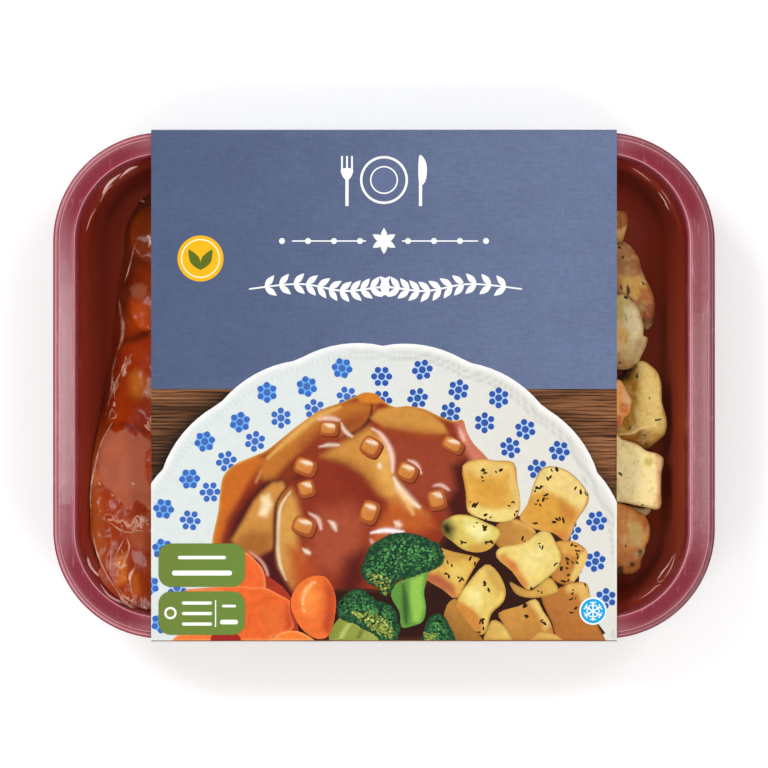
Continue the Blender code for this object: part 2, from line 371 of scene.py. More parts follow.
class Nodes:
    """A material's node tree, built with short calls."""

    def __init__(self, name):
        self.material = bpy.data.materials.new(name)
        self.material.use_nodes = True
        self.tree = self.material.node_tree
        self.shader = self.tree.nodes["Principled BSDF"]
        self.output = self.tree.nodes["Material Output"]
        self.place = self.add("ShaderNodeTexCoord").outputs["Object"]

    def add(self, kind, settings=None, **inputs):
        node = self.tree.nodes.new(kind)
        for key, value in (settings or {}).items():
            setattr(node, key, value)
        for key, value in inputs.items():
            self.put(node.inputs[key.replace("_", " ")], value)
        return node

    def put(self, socket, value):
        if isinstance(value, bpy.types.NodeSocket):
            self.tree.links.new(value, socket)
        elif isinstance(value, (list, tuple)) and len(value) == 3 and socket.type == "RGBA":
            socket.default_value = (*value, 1.0)
        else:
            socket.default_value = value

    def set(self, **inputs):
        for key, value in inputs.items():
            self.put(self.shader.inputs[key.replace("_", " ")], value)

    def stretched(self, stretch):
        """The place on the object, scaled along each axis."""
        node = self.add("ShaderNodeVectorMath", {"operation": "MULTIPLY"})
        self.put(node.inputs[0], self.place)
        node.inputs[1].default_value = stretch
        return node.outputs[0]

    def noise(self, scale, detail=3.0, roughness=0.55, stretch=None, distortion=0.0):
        place = self.stretched(stretch) if stretch else self.place
        node = self.add("ShaderNodeTexNoise", Vector=place, Scale=scale, Detail=detail,
                        Roughness=roughness, Distortion=distortion)
        return node.outputs["Fac"]

    def range(self, value, low, high, to_low=0.0, to_high=1.0):
        node = self.add("ShaderNodeMapRange", Value=value, From_Min=low, From_Max=high,
                        To_Min=to_low, To_Max=to_high)
        return node.outputs["Result"]

    def ramp(self, value, *stops):
        node = self.add("ShaderNodeValToRGB", Fac=value)
        elements = node.color_ramp.elements
        while len(elements) < len(stops):
            elements.new(0.5)
        for element, (position, colour) in zip(elements, stops):
            element.position = position
            element.color = (*linear(colour), 1.0)
        return node.outputs["Color"]

    def mix(self, share, first, second, kind="MIX"):
        node = self.add("ShaderNodeMix", {"data_type": "RGBA", "blend_type": kind})
        self.put(node.inputs[0], share)
        self.put(node.inputs[6], first)
        self.put(node.inputs[7], second)
        return node.outputs[2]

    def maths(self, kind, first, second):
        node = self.add("ShaderNodeMath", {"operation": kind})
        self.put(node.inputs[0], first)
        self.put(node.inputs[1], second)
        return node.outputs[0]

    def paint(self, name):
        return self.add("ShaderNodeAttribute", {"attribute_name": name}).outputs["Color"]

    def channels(self, colour):
        return self.add("ShaderNodeSeparateColor", Color=colour).outputs

    def grey(self, value):
        return self.add("ShaderNodeCombineColor", Red=value, Green=value, Blue=value).outputs[0]

    def bump(self, height, strength, distance):
        node = self.add("ShaderNodeBump", Strength=strength, Distance=distance, Height=height)
        self.put(self.shader.inputs["Normal"], node.outputs["Normal"])

    def printed(self, colour, tint):
        """Ends a material of the print: two colours multiplied, with the card's soft sheen."""
        self.set(Base_Color=self.mix(1.0, colour, tint, "MULTIPLY"), Roughness=INK_ROUGHNESS,
                 Specular_IOR_Level=INK_GLOSS)
        return self.material


def outer_plastic():
    """The tray's outside: burgundy, a little duller than the rim."""
    nodes = Nodes("outer_plastic")
    cloud = nodes.noise(22, 3)
    nodes.set(Base_Color=nodes.mix(nodes.range(cloud, 0.35, 0.7), linear("#7c2432"), linear("#8a2c3a")),
              Roughness=0.34, Specular_IOR_Level=0.35)
    nodes.bump(nodes.noise(120, 2), 0.06, 0.0003)
    return nodes.material


def tray_plastic():
    """Burgundy plastic: a soft gloss, slightly uneven from forming, with faint painted sheen streaks along
    the rim.

    Its colour also holds painted light and shade: warmer deep down and on the right wall from the food's
    light, highlight and shade lines along the rim's edges, and shade on the corners' step and the flange's
    corners.
    """
    nodes = Nodes("tray_plastic")
    cloud = nodes.noise(22, 3)
    depth, food_glow, step_shade = nodes.channels(nodes.paint("depth"))[:3]
    pale, dark, corner = nodes.channels(nodes.paint("line"))[:3]
    rim = nodes.maths("SUBTRACT", 1.0, depth)
    shaded = nodes.maths("MULTIPLY", corner, rim)
    # Painted light: the colour grows warmer with depth, for light thrown back from the food
    wall = nodes.ramp(depth, (0.0, "#96364a"), (0.25, "#8c2426"), (1.0, "#98301c"))
    colour = nodes.mix(nodes.range(cloud, 0.35, 0.7, 0.0, 0.2), wall, linear("#8a3c20"))
    # Painted glow of the food's light on the right wall
    lit_wall = nodes.maths("MULTIPLY", depth, nodes.maths("MULTIPLY", food_glow, 0.35))
    colour = nodes.mix(lit_wall, colour, linear("#a85434"))
    # Painted shade on the corners' step
    colour = nodes.mix(nodes.maths("MULTIPLY", step_shade, 0.55), colour, linear("#541810"))
    # Painted shade in the flange's corners
    colour = nodes.mix(nodes.maths("MULTIPLY", shaded, 0.75), colour, linear("#8a1a32"))
    # Painted highlight and shade lines along the rim's edges
    colour = nodes.mix(dark, nodes.mix(pale, colour, linear("#f0b4b8")), linear("#5a1424"))
    # Painted sheen: pale streaks along the rim
    sheen_streak = nodes.noise(700, 2, stretch=(1.0, 0.2, 1.0))
    sheen_specks = nodes.maths("MULTIPLY", rim, nodes.range(sheen_streak, 0.6, 0.75, 0.0, 0.3))
    nodes.set(Base_Color=nodes.mix(sheen_specks, colour, linear("#d8949c")))
    deep_gloss = nodes.range(depth, 0.6, 1.0, 0.3, 0.06)
    gloss = nodes.maths("MULTIPLY", deep_gloss, nodes.range(shaded, 0.0, 1.0, 1.0, 0.2))
    nodes.set(Specular_IOR_Level=gloss, Roughness=nodes.range(depth, 0.3, 1.0, 0.2, 0.5))
    nodes.bump(nodes.noise(120, 2), 0.05, 0.0002)
    return nodes.material


def clear_film():
    """Film that shows only its gloss."""
    nodes = Nodes("clear_film")
    nodes.set(Base_Color=(1.0, 1.0, 1.0), Metallic=1.0, Roughness=0.07)
    nodes.bump(nodes.noise(45, 3), 0.2, 0.0006)
    clear = nodes.add("ShaderNodeBsdfTransparent")
    gloss = nodes.add("ShaderNodeFresnel", IOR=1.42)
    sealed = nodes.channels(nodes.paint("sealed"))[0]
    both = nodes.add("ShaderNodeMixShader")
    nodes.put(both.inputs[0], nodes.maths("MULTIPLY", gloss.outputs[0], sealed))
    nodes.put(both.inputs[1], clear.outputs[0])
    nodes.put(both.inputs[2], nodes.shader.outputs[0])
    nodes.put(nodes.output.inputs["Surface"], both.outputs[0])
    return nodes.material


def tray_glints():
    """Painted highlight: the pale pink of the glints on the corners' step, with a gloss."""
    nodes = Nodes("tray_glints")
    pale = nodes.mix(nodes.noise(300, 2), linear("#eaa8a4"), linear("#ffe6e2"))
    nodes.set(Base_Color=pale, Roughness=0.25)
    return nodes.material


def board(name, code):
    """Bare board: pale, matt, with a fine fibre."""
    nodes = Nodes(name)
    grain = nodes.noise(1600, 3, stretch=(1.0, 0.25, 1.0))
    dark = [value * (1 - FIBRE_SHADE) for value in linear(code)]
    nodes.set(Base_Color=nodes.mix(nodes.range(grain, 0.35, 0.65), dark, linear(code)), Roughness=0.85)
    nodes.bump(grain, 0.2, 0.0001)
    return nodes.material


# Tray

def rounded_ring(inset, height, corner_steps=CORNER_STEPS, side_steps=SIDE_STEPS):
    """A level ring of the tray's rounded rectangle, drawn in by an inset, with points along its sides."""
    radius = max(CORNER_RADIUS - inset, 2 * MM)
    reach = TRAY_REACH - Vector((inset + radius, inset + radius))
    points = []
    for corner in range(4):
        side_x = 1 if corner in (0, 3) else -1
        side_y = 1 if corner < 2 else -1
        middle = Vector((side_x * reach.x, side_y * reach.y, height))
        for step in range(corner_steps + 1):
            way = heading(math.radians(90) * (corner + step / corner_steps))
            points.append(middle + Vector((way.x, way.y, 0)) * radius)
    full = []
    for index, point in enumerate(points):
        full.append(point)
        after = points[(index + 1) % len(points)]
        if (index + 1) % (corner_steps + 1) == 0:
            full += [point.lerp(after, step / side_steps) for step in range(1, side_steps)]
    return full


def rounded_path(points, radii, steps=BEND_STEPS):
    """A path whose corners are replaced by short curves of about these radii."""
    path = []
    points = [Vector(point) for point in points]
    for index, (corner, radius) in enumerate(zip(points, radii)):
        if radius == 0 or index in (0, len(points) - 1):
            path.append(corner)
            continue
        before, after = points[index - 1] - corner, points[index + 1] - corner
        reach = min(radius, before.length * 0.48, after.length * 0.48)
        start, stop = corner + before.normalized() * reach, corner + after.normalized() * reach
        for step in range(steps + 1):
            share = step / steps
            path.append(start.lerp(corner, share).lerp(corner.lerp(stop, share), share))
    return path


def loft(rings, close_last=False):
    """Points and faces through closed rings of equal length."""
    count = len(rings[0])
    points = [point for ring in rings for point in ring]
    faces = []
    for row in range(len(rings) - 1):
        for index in range(count):
            after = (index + 1) % count
            first, second = row * count, (row + 1) * count
            faces.append((first + index, first + after, second + after, second + index))
    if close_last:
        faces.append(tuple(range((len(rings) - 1) * count, len(rings) * count)))
    return points, faces


def tray_ring(stepped, plain):
    """One ring of the tray: stepped in the corners, with a wider flange at the right end."""
    shift = between(FLANGE_SHIFT, plain.x) * MM
    sections = (plain, 0), (stepped, 0), (plain, shift)
    rings = [rounded_ring(inset * MM + extra, RIM_TOP - drop * MM) for (inset, drop), extra in sections]
    ring = []
    for first, second, third in zip(*rings):
        spot = first.lerp(second, corner_share(first.x / MM, first.y / MM))
        away = third - first
        share = (max(0.0, -away.x) / away.length) ** 2 if away.length else 0.0
        ring.append(spot + away * share)
    return ring


def edge_share(edges, inset):
    """How strongly the nearest of some lines shows at an inset."""
    return max(math.exp(-((inset - at) / width) ** 2) * share for at, width, share in edges)


def paint_tray(mesh, insets):
    """Masks for the tray's colour: its depth, the food's painted glow, painted shade on the step, on the
    rolled edge at the right end and in the flange's corners, and painted highlight and shade lines along the
    rim.
    """
    marks, lines = [], []
    for vert, inset in zip(mesh.vertices, insets):
        x, y = vert.co.x / MM, vert.co.y / MM
        deep = smooth(*DEPTH_GROWS, (RIM_TOP - vert.co.z) / MM)
        # Painted glow of the food's light, strongest on the right wall
        food_glow = smooth(*GLOW_GROWS_X, x) * smooth(*GLOW_GROWS_Y, abs(y - GLOW_MIDDLE_Y))
        corner = corner_share(x, y)
        # Painted shade on the corners' step
        step_shade = smooth(*STEP_STARTS, inset) * smooth(*STEP_ENDS, inset) * corner
        # Painted shade on the rolled edge at the right end, joined to the painted shade lines
        roll = ROLL_SHADE * smooth(*ROLL_GROWS_X, x) * smooth(*ROLL_ENDS, inset)
        dark = max(edge_share(SHADE_LINES, inset), roll)
        marks.append((deep, food_glow, step_shade))
        # Painted highlight lines, and the flange's corners, which are painted in shade
        lines.append((edge_share(HIGHLIGHT_LINES, inset), dark, corner * smooth(*FLANGE_STARTS, inset)))
    set_paint(mesh, "depth", marks)
    set_paint(mesh, "line", lines)


def make_tray():
    rings, insets = [], []
    plain_path = rounded_path(TRAY_SIDE_SECTION, TRAY_BENDS)
    for stepped, plain in zip(rounded_path(TRAY_SECTION, TRAY_BENDS), plain_path):
        rings.append(tray_ring(stepped, plain))
        insets += [plain.x] * len(rings[-1])
    points, faces = loft(rings, close_last=True)
    faces = [tuple(reversed(face)) for face in faces]
    mesh = mesh_from("tray_shell", points, faces)
    if mesh.polygons[-1].normal.z < 0:
        mesh.flip_normals()
    paint_tray(mesh, insets)
    finishes = [tray_plastic(), outer_plastic()]
    piece = add_piece("tray_shell", mesh, finishes, ["tray"], smooth_angle=50)
    shell = piece.modifiers.new("Thickness", "SOLIDIFY")
    shell.thickness = TRAY_THICKNESS
    shell.offset = -1.0
    shell.material_offset = 1


# Painted highlights: thin pale ridges on the step of the tray's corners, standing in for glints of light
# there, in pixels, each with its width in mm
CORNER_GLINTS = (
    (((150, 164), (140, 166), (131, 169), (124, 174), (119, 179)), 0.9),
    (((121, 174), (112, 181), (106, 188), (102, 195)), 1.0),
    (((113, 184), (106, 191), (100, 202)), 0.5),
    (((96, 208), (90, 219), (86, 232)), 0.5),
    (((628, 166), (640, 173), (651, 182)), 0.5),
    (((658, 191.5), (664, 200), (670, 210.5)), 0.8),
    (((661, 190), (667, 198), (671, 206)), 0.4),
    (((675, 553.5), (668, 565), (657, 580)), 0.55),
    (((675.5, 554), (671, 568), (664, 579)), 0.55),
    (((657, 580), (660, 582), (664, 579)), 0.4),
    (((664, 584), (657, 586), (649, 593), (638, 600)), 0.5),
    (((661, 588), (647, 600), (632, 606), (617, 610)), 0.4),
    (((87, 553), (91, 566), (100, 577)), 0.8),
    (((101, 583), (110, 594), (122, 601), (139, 608)), 0.6),
)
CORNER_GLINT_RISE = 0.4
STEP_DROP = 8.6
# The first point of the rounded section that belongs to the inside of the wall
WALL_FROM = 30


def ridges(lines, height_at, scale, rise):
    """Points and faces of thin ridges that follow a surface; each line is pixels and a width in mm."""
    points, faces = [], []
    for pixels, width in lines:
        path = curved(photo_path(pixels), 5, closed=False)
        count = len(path)
        for index, spot in enumerate(path):
            along = path[min(index + 1, count - 1)] - path[max(index - 1, 0)]
            side = Vector((-along.y, along.x)).normalized()
            swell = math.sin(math.pi * (index + 0.35) / (count - 0.3)) ** 0.7
            for shift, lift in ((-0.5, -0.1), (0.0, rise * swell), (0.5, -0.1)):
                place = (spot + side * shift * width * swell) * scale
                points.append((place.x * MM, place.y * MM, (height_at(place) + lift) * MM))
        start = len(points) - 3 * count
        for index in range(count - 1):
            low, high = start + 3 * index, start + 3 * index + 3
            faces += [(low + 1, low, high, high + 1), (low + 2, low + 1, high + 1, high + 2)]
    return points, faces


def make_corner_glints():
    # Pale ridges that follow the wall's step, painted as glints of light
    wall = [(point.x, point.y) for point in rounded_path(TRAY_SECTION, TRAY_BENDS)[WALL_FROM:]]

    def wall_height(place):
        return RIM_TOP / MM - between(wall, inset_of(place.x, place.y))
    scale = view_scale(RIM_TOP / MM - STEP_DROP)
    points, faces = ridges(CORNER_GLINTS, wall_height, scale, CORNER_GLINT_RISE)
    mesh = mesh_from("tray_corner_glints", points, faces)
    add_piece("tray_corner_glints", mesh, [tray_glints()], smooth_angle=60)


# Film

FILM_INSET = 1.95 * MM
FILM_LIFT = 0.06 * MM
FILM_SAG = 1.6
FILM_CELL = 2.6
FILM_SEAL = 6.6
FILM_SEALED_SHARE = 0.997
# How much further in the seal's edge lies at the right end, and where along x it moves there, in mm
SEAL_SHIFT = 1.0
SEAL_SHIFT_X = (85, 105)
SEAL_BLEND = 0.7
FILM_WAVE = 0.35
FILM_WAVE_SCALE = 38
FILM_RINGS = 44
FILM_RING_STEPS = (16, 20)
FILM_END = 72 * MM
# From which inset to which, in mm, the film's sag and its waves grow to their full size
SAG_GROWS = (7.5, 38.0)
WAVE_GROWS = (7.8, 16.0)


def film_rings():
    """Level rings of the film from its edge inwards, close together near the seal."""
    rings = []
    for step in range(FILM_RINGS):
        inset = FILM_INSET + step * FILM_CELL * MM * min(1.0, 0.2 + step * 0.04)
        if inset > FILM_END:
            break
        sag = FILM_SAG * smooth(*SAG_GROWS, inset / MM)
        swing = FILM_WAVE * smooth(*WAVE_GROWS, inset / MM)
        ring = []
        for point in rounded_ring(inset, 0.0, *FILM_RING_STEPS):
            wave = noise.noise(Vector((point.x * FILM_WAVE_SCALE, point.y * FILM_WAVE_SCALE, 4.0)))
            height = RIM_TOP + FILM_LIFT - (sag + swing * wave) * MM
            ring.append(Vector((point.x, point.y, height)))
        rings.append(ring)
    return rings


def make_film():
    """A thin sheet, sealed along the flange and slack over the food."""
    mesh = mesh_from("film_sheet", *loft(film_rings(), close_last=True))
    if mesh.polygons[0].normal.z < 0:
        mesh.flip_normals()
    marks = []
    for vert in mesh.vertices:
        x, y = vert.co.x / MM, vert.co.y / MM
        seal_edge = FILM_SEAL + SEAL_SHIFT * smooth(*SEAL_SHIFT_X, x)
        marks.append(1 - FILM_SEALED_SHARE * smooth(seal_edge, seal_edge + SEAL_BLEND, inset_of(x, y)))
    set_grey(mesh, "sealed", marks)
    add_piece("film_sheet", mesh, [clear_film()], ["lidding_film"], smooth_angle=80)


# Gravy: how its left edge, as (y, x) in mm, and its depth, as (y, depth) in mm, change along the tray's width

GRAVY_LEFT_EDGE = (
    (-90, -125), (-31, -119), (-15, -104.7), (-5, -99.5), (12, -95), (35, -92), (64, -85.5), (70, -82),
)
GRAVY_DEPTH = (
    (-90, 35.5), (-74, 34), (-64, 31.8), (-55, 28.4), (-40, 27.0), (-18, 25.2), (-6, 20.5), (70, 18.5),
)
GRAVY_FAR_EDGE = 68.5
GRAVY_FRONT = 9.6
GRAVY_BASE_DROP = 38.4
GRAVY_SHOULDER = 6.0
# No point of the gravy counts as further from its edge than this
GRAVY_WIDEST = 40.0
GRAVY_EDGE_BLEND = 3.0
GRAVY_RIPPLE = 0.6
GRAVY_RIPPLE_LENGTH = (46, 57)
GRAVY_SHOWN_TO = -72.0
GRAVY_CELLS = (0.36, 4.0)
GRAVY_SCALE = 1.014
GRAVY_COAT = 0.7
GRAVY_SKIN_BLEND = 2.2
GRAVY_SETTLING = 90
GRAVY_LOW = (-103.0, -77.0)
# The fill's underside: how far out it follows the wall, how far it is over it, and its least depth, in mm
GRAVY_UNDER_INSET = 0.35
GRAVY_UNDER_LIFT = 0.25
GRAVY_THINNEST = 0.02

# Folds in the gravy's skin, painted pale as highlights, as pixels along each fold and its width in mm, and
# the patch whose skin lies flat and is painted pinkish as the reflection of a soft light
GRAVY_FOLDS = (
    (((136, 197), (141, 199)), 0.85),
    (((146, 234), (149, 240), (147, 247)), 1.19),
    (((135, 241), (127, 262), (121, 281)), 0.59),
    (((114.5, 298), (117, 312), (119.5, 325), (118.8, 338), (114.5, 350)), 1.36),
    (((116.5, 320), (120.5, 328), (120, 336)), 0.68),
    (((114.5, 350), (109.4, 369), (108.4, 388), (103.8, 416)), 0.59),
    (((130, 353), (124, 366), (121, 376), (125, 371)), 1.02),
    (((127, 362), (122, 364), (119, 372)), 0.68),
    (((118, 373), (111.6, 387), (107, 400)), 0.85),
    (((114, 378), (116, 384), (112, 392), (113, 400)), 0.51),
    (((107, 418.8), (110, 409.4), (114.7, 417), (107, 419)), 0.68),
    (((144.4, 389), (148, 394)), 1.02),
    (((144.4, 425), (150.6, 431)), 0.85),
    (((147, 421), (150, 426)), 0.85),
    (((111.6, 422), (101.4, 441), (95.6, 463), (91.8, 487), (91, 509)), 0.6),
    (((91, 512), (93, 531), (99, 554), (110, 576), (125, 595), (150, 606.5)), 0.45),
    (((105, 515), (111.6, 514), (118, 522), (124, 520), (130, 526.5), (138, 515.5), (144, 522),
      (150.6, 518.8)), 0.77),
    (((107, 520), (116, 526), (122, 530), (132, 532), (141, 530), (148, 533)), 0.59),
    (((135, 521), (139, 526), (145, 516), (149, 522)), 0.59),
    (((112, 519), (116, 516), (122, 524)), 0.59),
    (((110, 525), (112.5, 544), (111.6, 566), (114, 575)), 0.59),
    (((125.6, 537), (118, 553), (116, 562), (122.5, 569), (119.4, 580)), 0.68),
    (((119.4, 580), (124, 566), (130.3, 547), (127, 536)), 0.68),
    (((122, 548), (124, 554), (119, 560)), 0.51),
    (((142.8, 553), (136.6, 566), (132, 578), (135, 594), (138, 603)), 0.68),
    (((137, 565), (131, 574), (133, 583)), 0.68),
    (((116, 584), (122.5, 594), (127, 600), (136.6, 606)), 0.94),
    (((120, 586), (126, 594), (134, 600)), 0.68),
    (((99, 482), (101, 485)), 0.85),
    (((111, 493), (114, 496)), 0.77),
    (((132, 483), (135, 484)), 0.85),
    (((131, 496), (133, 498)), 0.77),
    (((146, 605), (150, 607)), 0.85),
)
REFLECTION_PATCH = (
    (107, 428), (114.7, 433), (119, 431), (124, 430), (130, 433), (135, 438), (139, 433), (146, 438),
    (151, 441), (151, 456), (147, 460), (146, 466), (149, 474), (151, 481), (151, 509), (143, 503),
    (136.6, 500), (131, 508), (127, 508), (122, 501), (117, 498), (111.6, 490), (106, 487), (99, 478),
    (97.5, 462), (100.6, 447),
)
FOLD_RISE = 0.28
# Crinkles: where they gather, as a pixel, how far they spread along x and y in pixels, and how many
CRINKLES = (
    ((118, 519), 10, 4, 12),
    ((142, 521), 8, 6, 16),
    ((129, 527), 12, 3, 10),
    ((122, 566), 4, 9, 7),
    ((134, 599), 8, 3, 10),
    ((110, 386), 3, 10, 8),
    ((126, 362), 4, 5, 7),
    ((112, 408), 3, 6, 6),
    ((147, 424), 3, 5, 4),
    ((124, 593), 4, 4, 4),
)
CRINKLE_LENGTH = (2.0, 5.5)
CRINKLE_WIDTH = (0.35, 0.8)
CRINKLES_END = 152.0


def gravy_crinkles():
    """Short bent folds, gathered in a few places."""
    draw = random.Random(12)
    folds = []
    for (px, py), across, down, count in CRINKLES:
        for _ in range(count):
            x, y = px + draw.gauss(0, 0.5) * across, py + draw.gauss(0, 0.5) * down
            path, angle = [(x, y)], draw.uniform(0, math.tau)
            for _ in range(2):
                angle += draw.uniform(-1.2, 1.2)
                reach = draw.uniform(*CRINKLE_LENGTH) / 2
                x, y = x + reach * math.cos(angle), y + reach * math.sin(angle)
                path.append((min(x, CRINKLES_END), y))
            folds.append((tuple(path), draw.uniform(*CRINKLE_WIDTH)))
    return tuple(folds)


def gravy_tones():
    """The gravy's colour by place: orange on the humps, a pinkish blob painted as a highlight, and a dull
    pinkish patch where the skin lies flat, painted as the reflection of a soft light.
    """
    return painted(
        "#952a04",
        area(((100, 190), (151, 190), (151, 300), (105, 330)), "#8a2f06", 8.0),
        area(((126, 180), (151, 178), (151, 206), (132, 214)), "#6e3406", 5.0, 0.95),
        area(((136, 206), (151, 202), (151, 262), (128, 276)), "#6c2402", 4.0, 0.85),
        area(((118, 262), (127, 258), (130, 290), (120, 310)), "#6a1a06", 2.0, 0.8),
        # Painted highlight: a pinkish blob
        area(((127, 287), (132, 283), (140, 283), (146, 286), (144, 297), (138, 300), (130, 296)),
             "#a25a40", 0.8, 0.95),
        area(((130, 300), (151, 300), (151, 336), (136, 336), (124, 322)), "#c24a08", 3.0, 0.95),
        line(((112, 344), (122, 341), (132, 339), (151, 331)), "#4c0e03", 3.4, 0.9),
        area(((112, 345), (151, 341), (151, 425), (108, 425)), "#a43006", 3.0, 0.9),
        area(((128, 376), (134, 370), (146, 378), (149, 394), (138, 402), (128, 394)), "#c2691a", 2.0, 0.9),
        area(((138, 400), (151, 396), (151, 430), (136, 426)), "#8c2404", 2.0, 0.8),
        line(((106, 427), (118, 424), (136, 428), (151, 434)), "#701a04", 2.4, 0.7),
        area(((90, 430), (100, 425), (108, 440), (98, 470), (104, 500), (110, 540), (104, 580), (88, 560),
              (84, 470)), "#9e4204", 2.0, 0.9),
        area(((112, 508), (151, 510), (151, 608), (120, 606), (106, 570)), "#902a04", 2.4),
        area(((128, 520), (151, 512), (151, 548), (140, 552), (130, 540)), "#a8502c", 1.6, 0.8),
        area(((117, 556), (128, 552), (128, 580), (119, 584)), "#c86c14", 1.4, 0.85),
        area(((134, 575), (140, 572), (142, 590), (136, 596)), "#b85a10", 1.4, 0.8),
        line(((118, 590), (130, 598), (150, 604)), "#5c1405", 2.0, 0.7),
        # Painted reflection of a soft light on the patch where the skin lies flat
        area(REFLECTION_PATCH, "#b05f45", 0.3, 0.97),
        area(((146, 452), (152, 446), (152, 490), (147, 480), (145, 466)), "#a8300a", 0.4, 0.9),
        area(((96, 470), (100, 480), (96, 486), (92, 478)), "#c06430", 0.6, 0.8))


def gravy_drop(x, y):
    """How far the gravy's surface is below the rim, in mm: a mound that floods the near corner."""
    edges = (x - between(GRAVY_LEFT_EDGE, y), GRAVY_FAR_EDGE + 1 - y, GRAVY_WIDEST)
    nearest = -GRAVY_EDGE_BLEND * math.log(sum(math.exp(-edge / GRAVY_EDGE_BLEND) for edge in edges))
    depth = between(GRAVY_DEPTH, y)
    rise = depth * (1 - math.exp(-nearest / GRAVY_SHOULDER)) if nearest > 0 else nearest
    along, across = (math.tau * value / length for value, length in zip((x, y), GRAVY_RIPPLE_LENGTH))
    ripple = GRAVY_RIPPLE * math.sin(along) * math.cos(across) if nearest > GRAVY_SHOULDER else 0
    return GRAVY_BASE_DROP - rise - ripple


def pork_tops():
    """What finds the height of the pork under a point, in mm, or nothing."""
    depsgraph = bpy.context.evaluated_depsgraph_get()
    trees = []
    for thing in bpy.context.scene.objects:
        if thing.name.startswith("pork_slice"):
            trees.append((BVHTree.FromObject(thing, depsgraph), thing.matrix_world.inverted()))

    def height(x, y):
        best = -1.0
        for tree, inverse in trees:
            start = inverse @ Vector((x * MM, y * MM, 0.1))
            hit = tree.ray_cast(start, Vector((0, 0, -1)))[0]
            if hit is not None:
                best = max(best, (inverse.inverted() @ hit).z / MM)
        return best
    return height


def patch_share(points, edge):
    """1 on the skin's flat patch, 0 off it, growing over an edge of this width in mm."""
    path = photo_path(REFLECTION_PATCH)
    shown = points / GRAVY_SCALE
    reach = line_distance(shown, path, closed=True)
    return np.where(inside(shown, path), np.clip(reach / edge, 0, 1), 0.0)


def gravy_relief(points):
    """Fine unevenness of the skin, in mm."""
    relief = []
    for (x, y), flat in zip(points, patch_share(points, 1.0)):
        place = Vector((x * 0.16, y * 0.12, 3.0))
        wrinkle = noise.noise(place) * 0.7 + noise.noise(place * 2.7) * 0.16 + noise.noise(place * 5.0) * 0.05
        relief.append(wrinkle * (1 - 0.85 * flat))
    return np.array(relief)


def gravy_levels(points):
    """The gravy's surface before its relief, the tray under it and the pork's coat, in mm."""
    pork = pork_tops()
    tops, floors, coats = [], [], []
    for x, y in points:
        inset = inset_of(x, y)
        floor = RIM_TOP / MM - wall_drop(x, y, inset - GRAVY_UNDER_INSET) + GRAVY_UNDER_LIFT
        top = RIM_TOP / MM - gravy_drop(x, y)
        cover = pork(x, y)
        if cover > 0:
            over = cover + GRAVY_COAT
            share = smooth(-2 * GRAVY_SKIN_BLEND, 2 * GRAVY_SKIN_BLEND, over - top)
            top = max(top, over) + GRAVY_SKIN_BLEND * share * (1 - share)
        tops.append(top)
        floors.append(floor)
        coats.append(cover + GRAVY_COAT)
    return np.array(tops), np.array(floors), np.array(coats)


def steps_between(low, high, cell):
    count = max(1, round((high - low) / cell))
    return [low + (high - low) * index / count for index in range(count)]


def clipped_grid(columns, rows, heights):
    """Faces of a grid where the heights are above zero, as weights on pairs of grid points."""
    points, found, faces = [], {}, []

    def corner(key, first, second, share):
        if key not in found:
            found[key] = len(points)
            points.append((first, second, share))
        return found[key]

    for row in range(rows - 1):
        for column in range(columns - 1):
            quad = [row * columns + column, row * columns + column + 1,
                    (row + 1) * columns + column + 1, (row + 1) * columns + column]
            face = []
            for start, stop in zip(quad, quad[1:] + quad[:1]):
                if heights[start] > 0:
                    face.append(corner((start,), start, start, 0.0))
                if (heights[start] > 0) != (heights[stop] > 0):
                    low, high = min(start, stop), max(start, stop)
                    share = heights[low] / (heights[low] - heights[high])
                    face.append(corner((low, high), low, high, share))
            if len(face) > 2:
                faces.append(face)
    return points, faces


def sauce(name="gravy_sauce", code=None):
    """Wet gravy: deep orange-brown with a clear gloss."""
    nodes = Nodes(name)
    cloud = nodes.noise(160, 4, distortion=0.6)
    tone = linear(code) if code else nodes.paint("tone")
    colour = nodes.mix(nodes.range(cloud, 0.4, 0.75, 0.0, 0.25), tone, linear("#c4570f"))
    dark = nodes.noise(70, 3)
    colour = nodes.mix(nodes.range(dark, 0.5, 0.75, 0.0, 0.3), colour, linear("#5c1203"))
    nodes.set(Base_Color=colour, Roughness=0.2, Specular_IOR_Level=0.15)
    if not code:
        calm = nodes.channels(nodes.paint("calm"))[0]
        nodes.set(Roughness=nodes.range(calm, 0.0, 1.0, 0.2, 0.6))
        nodes.set(Specular_IOR_Level=nodes.range(calm, 0.0, 1.0, 0.15, 0.06))
    nodes.bump(nodes.noise(500, 2), 0.08, 0.0002)
    return nodes.material


def fold_highlight():
    """The gravy's skin where it is folded: glossier, and painted pale as highlights."""
    nodes = Nodes("gravy_folds_highlit")
    share = nodes.range(nodes.noise(260, 2), 0.35, 0.65)
    nodes.set(Base_Color=nodes.mix(share, linear("#b0603e"), linear("#f0bca4")), Roughness=0.18)
    return nodes.material


def gravy_grid():
    """The grid's lines along x and y in mm, fine along x only where the gravy shows."""
    fine, coarse = GRAVY_CELLS
    low_x, low_y = GRAVY_LOW
    xs = steps_between(low_x, GRAVY_SHOWN_TO, fine) + steps_between(GRAVY_SHOWN_TO, GRAVY_FRONT, coarse)
    ys = steps_between(low_y, GRAVY_FAR_EDGE, fine)
    return xs + [GRAVY_FRONT], ys + [GRAVY_FAR_EDGE]


def settled(tops, coats):
    """The surface after it has sagged smoothly between the places where the pork holds it up."""
    for _ in range(GRAVY_SETTLING):
        around = tops[:-2, 1:-1] + tops[2:, 1:-1] + tops[1:-1, :-2] + tops[1:-1, 2:]
        tops[1:-1, 1:-1] = tops[1:-1, 1:-1] * 0.4 + around * 0.15
        np.maximum(tops, coats, out=tops)
    return tops


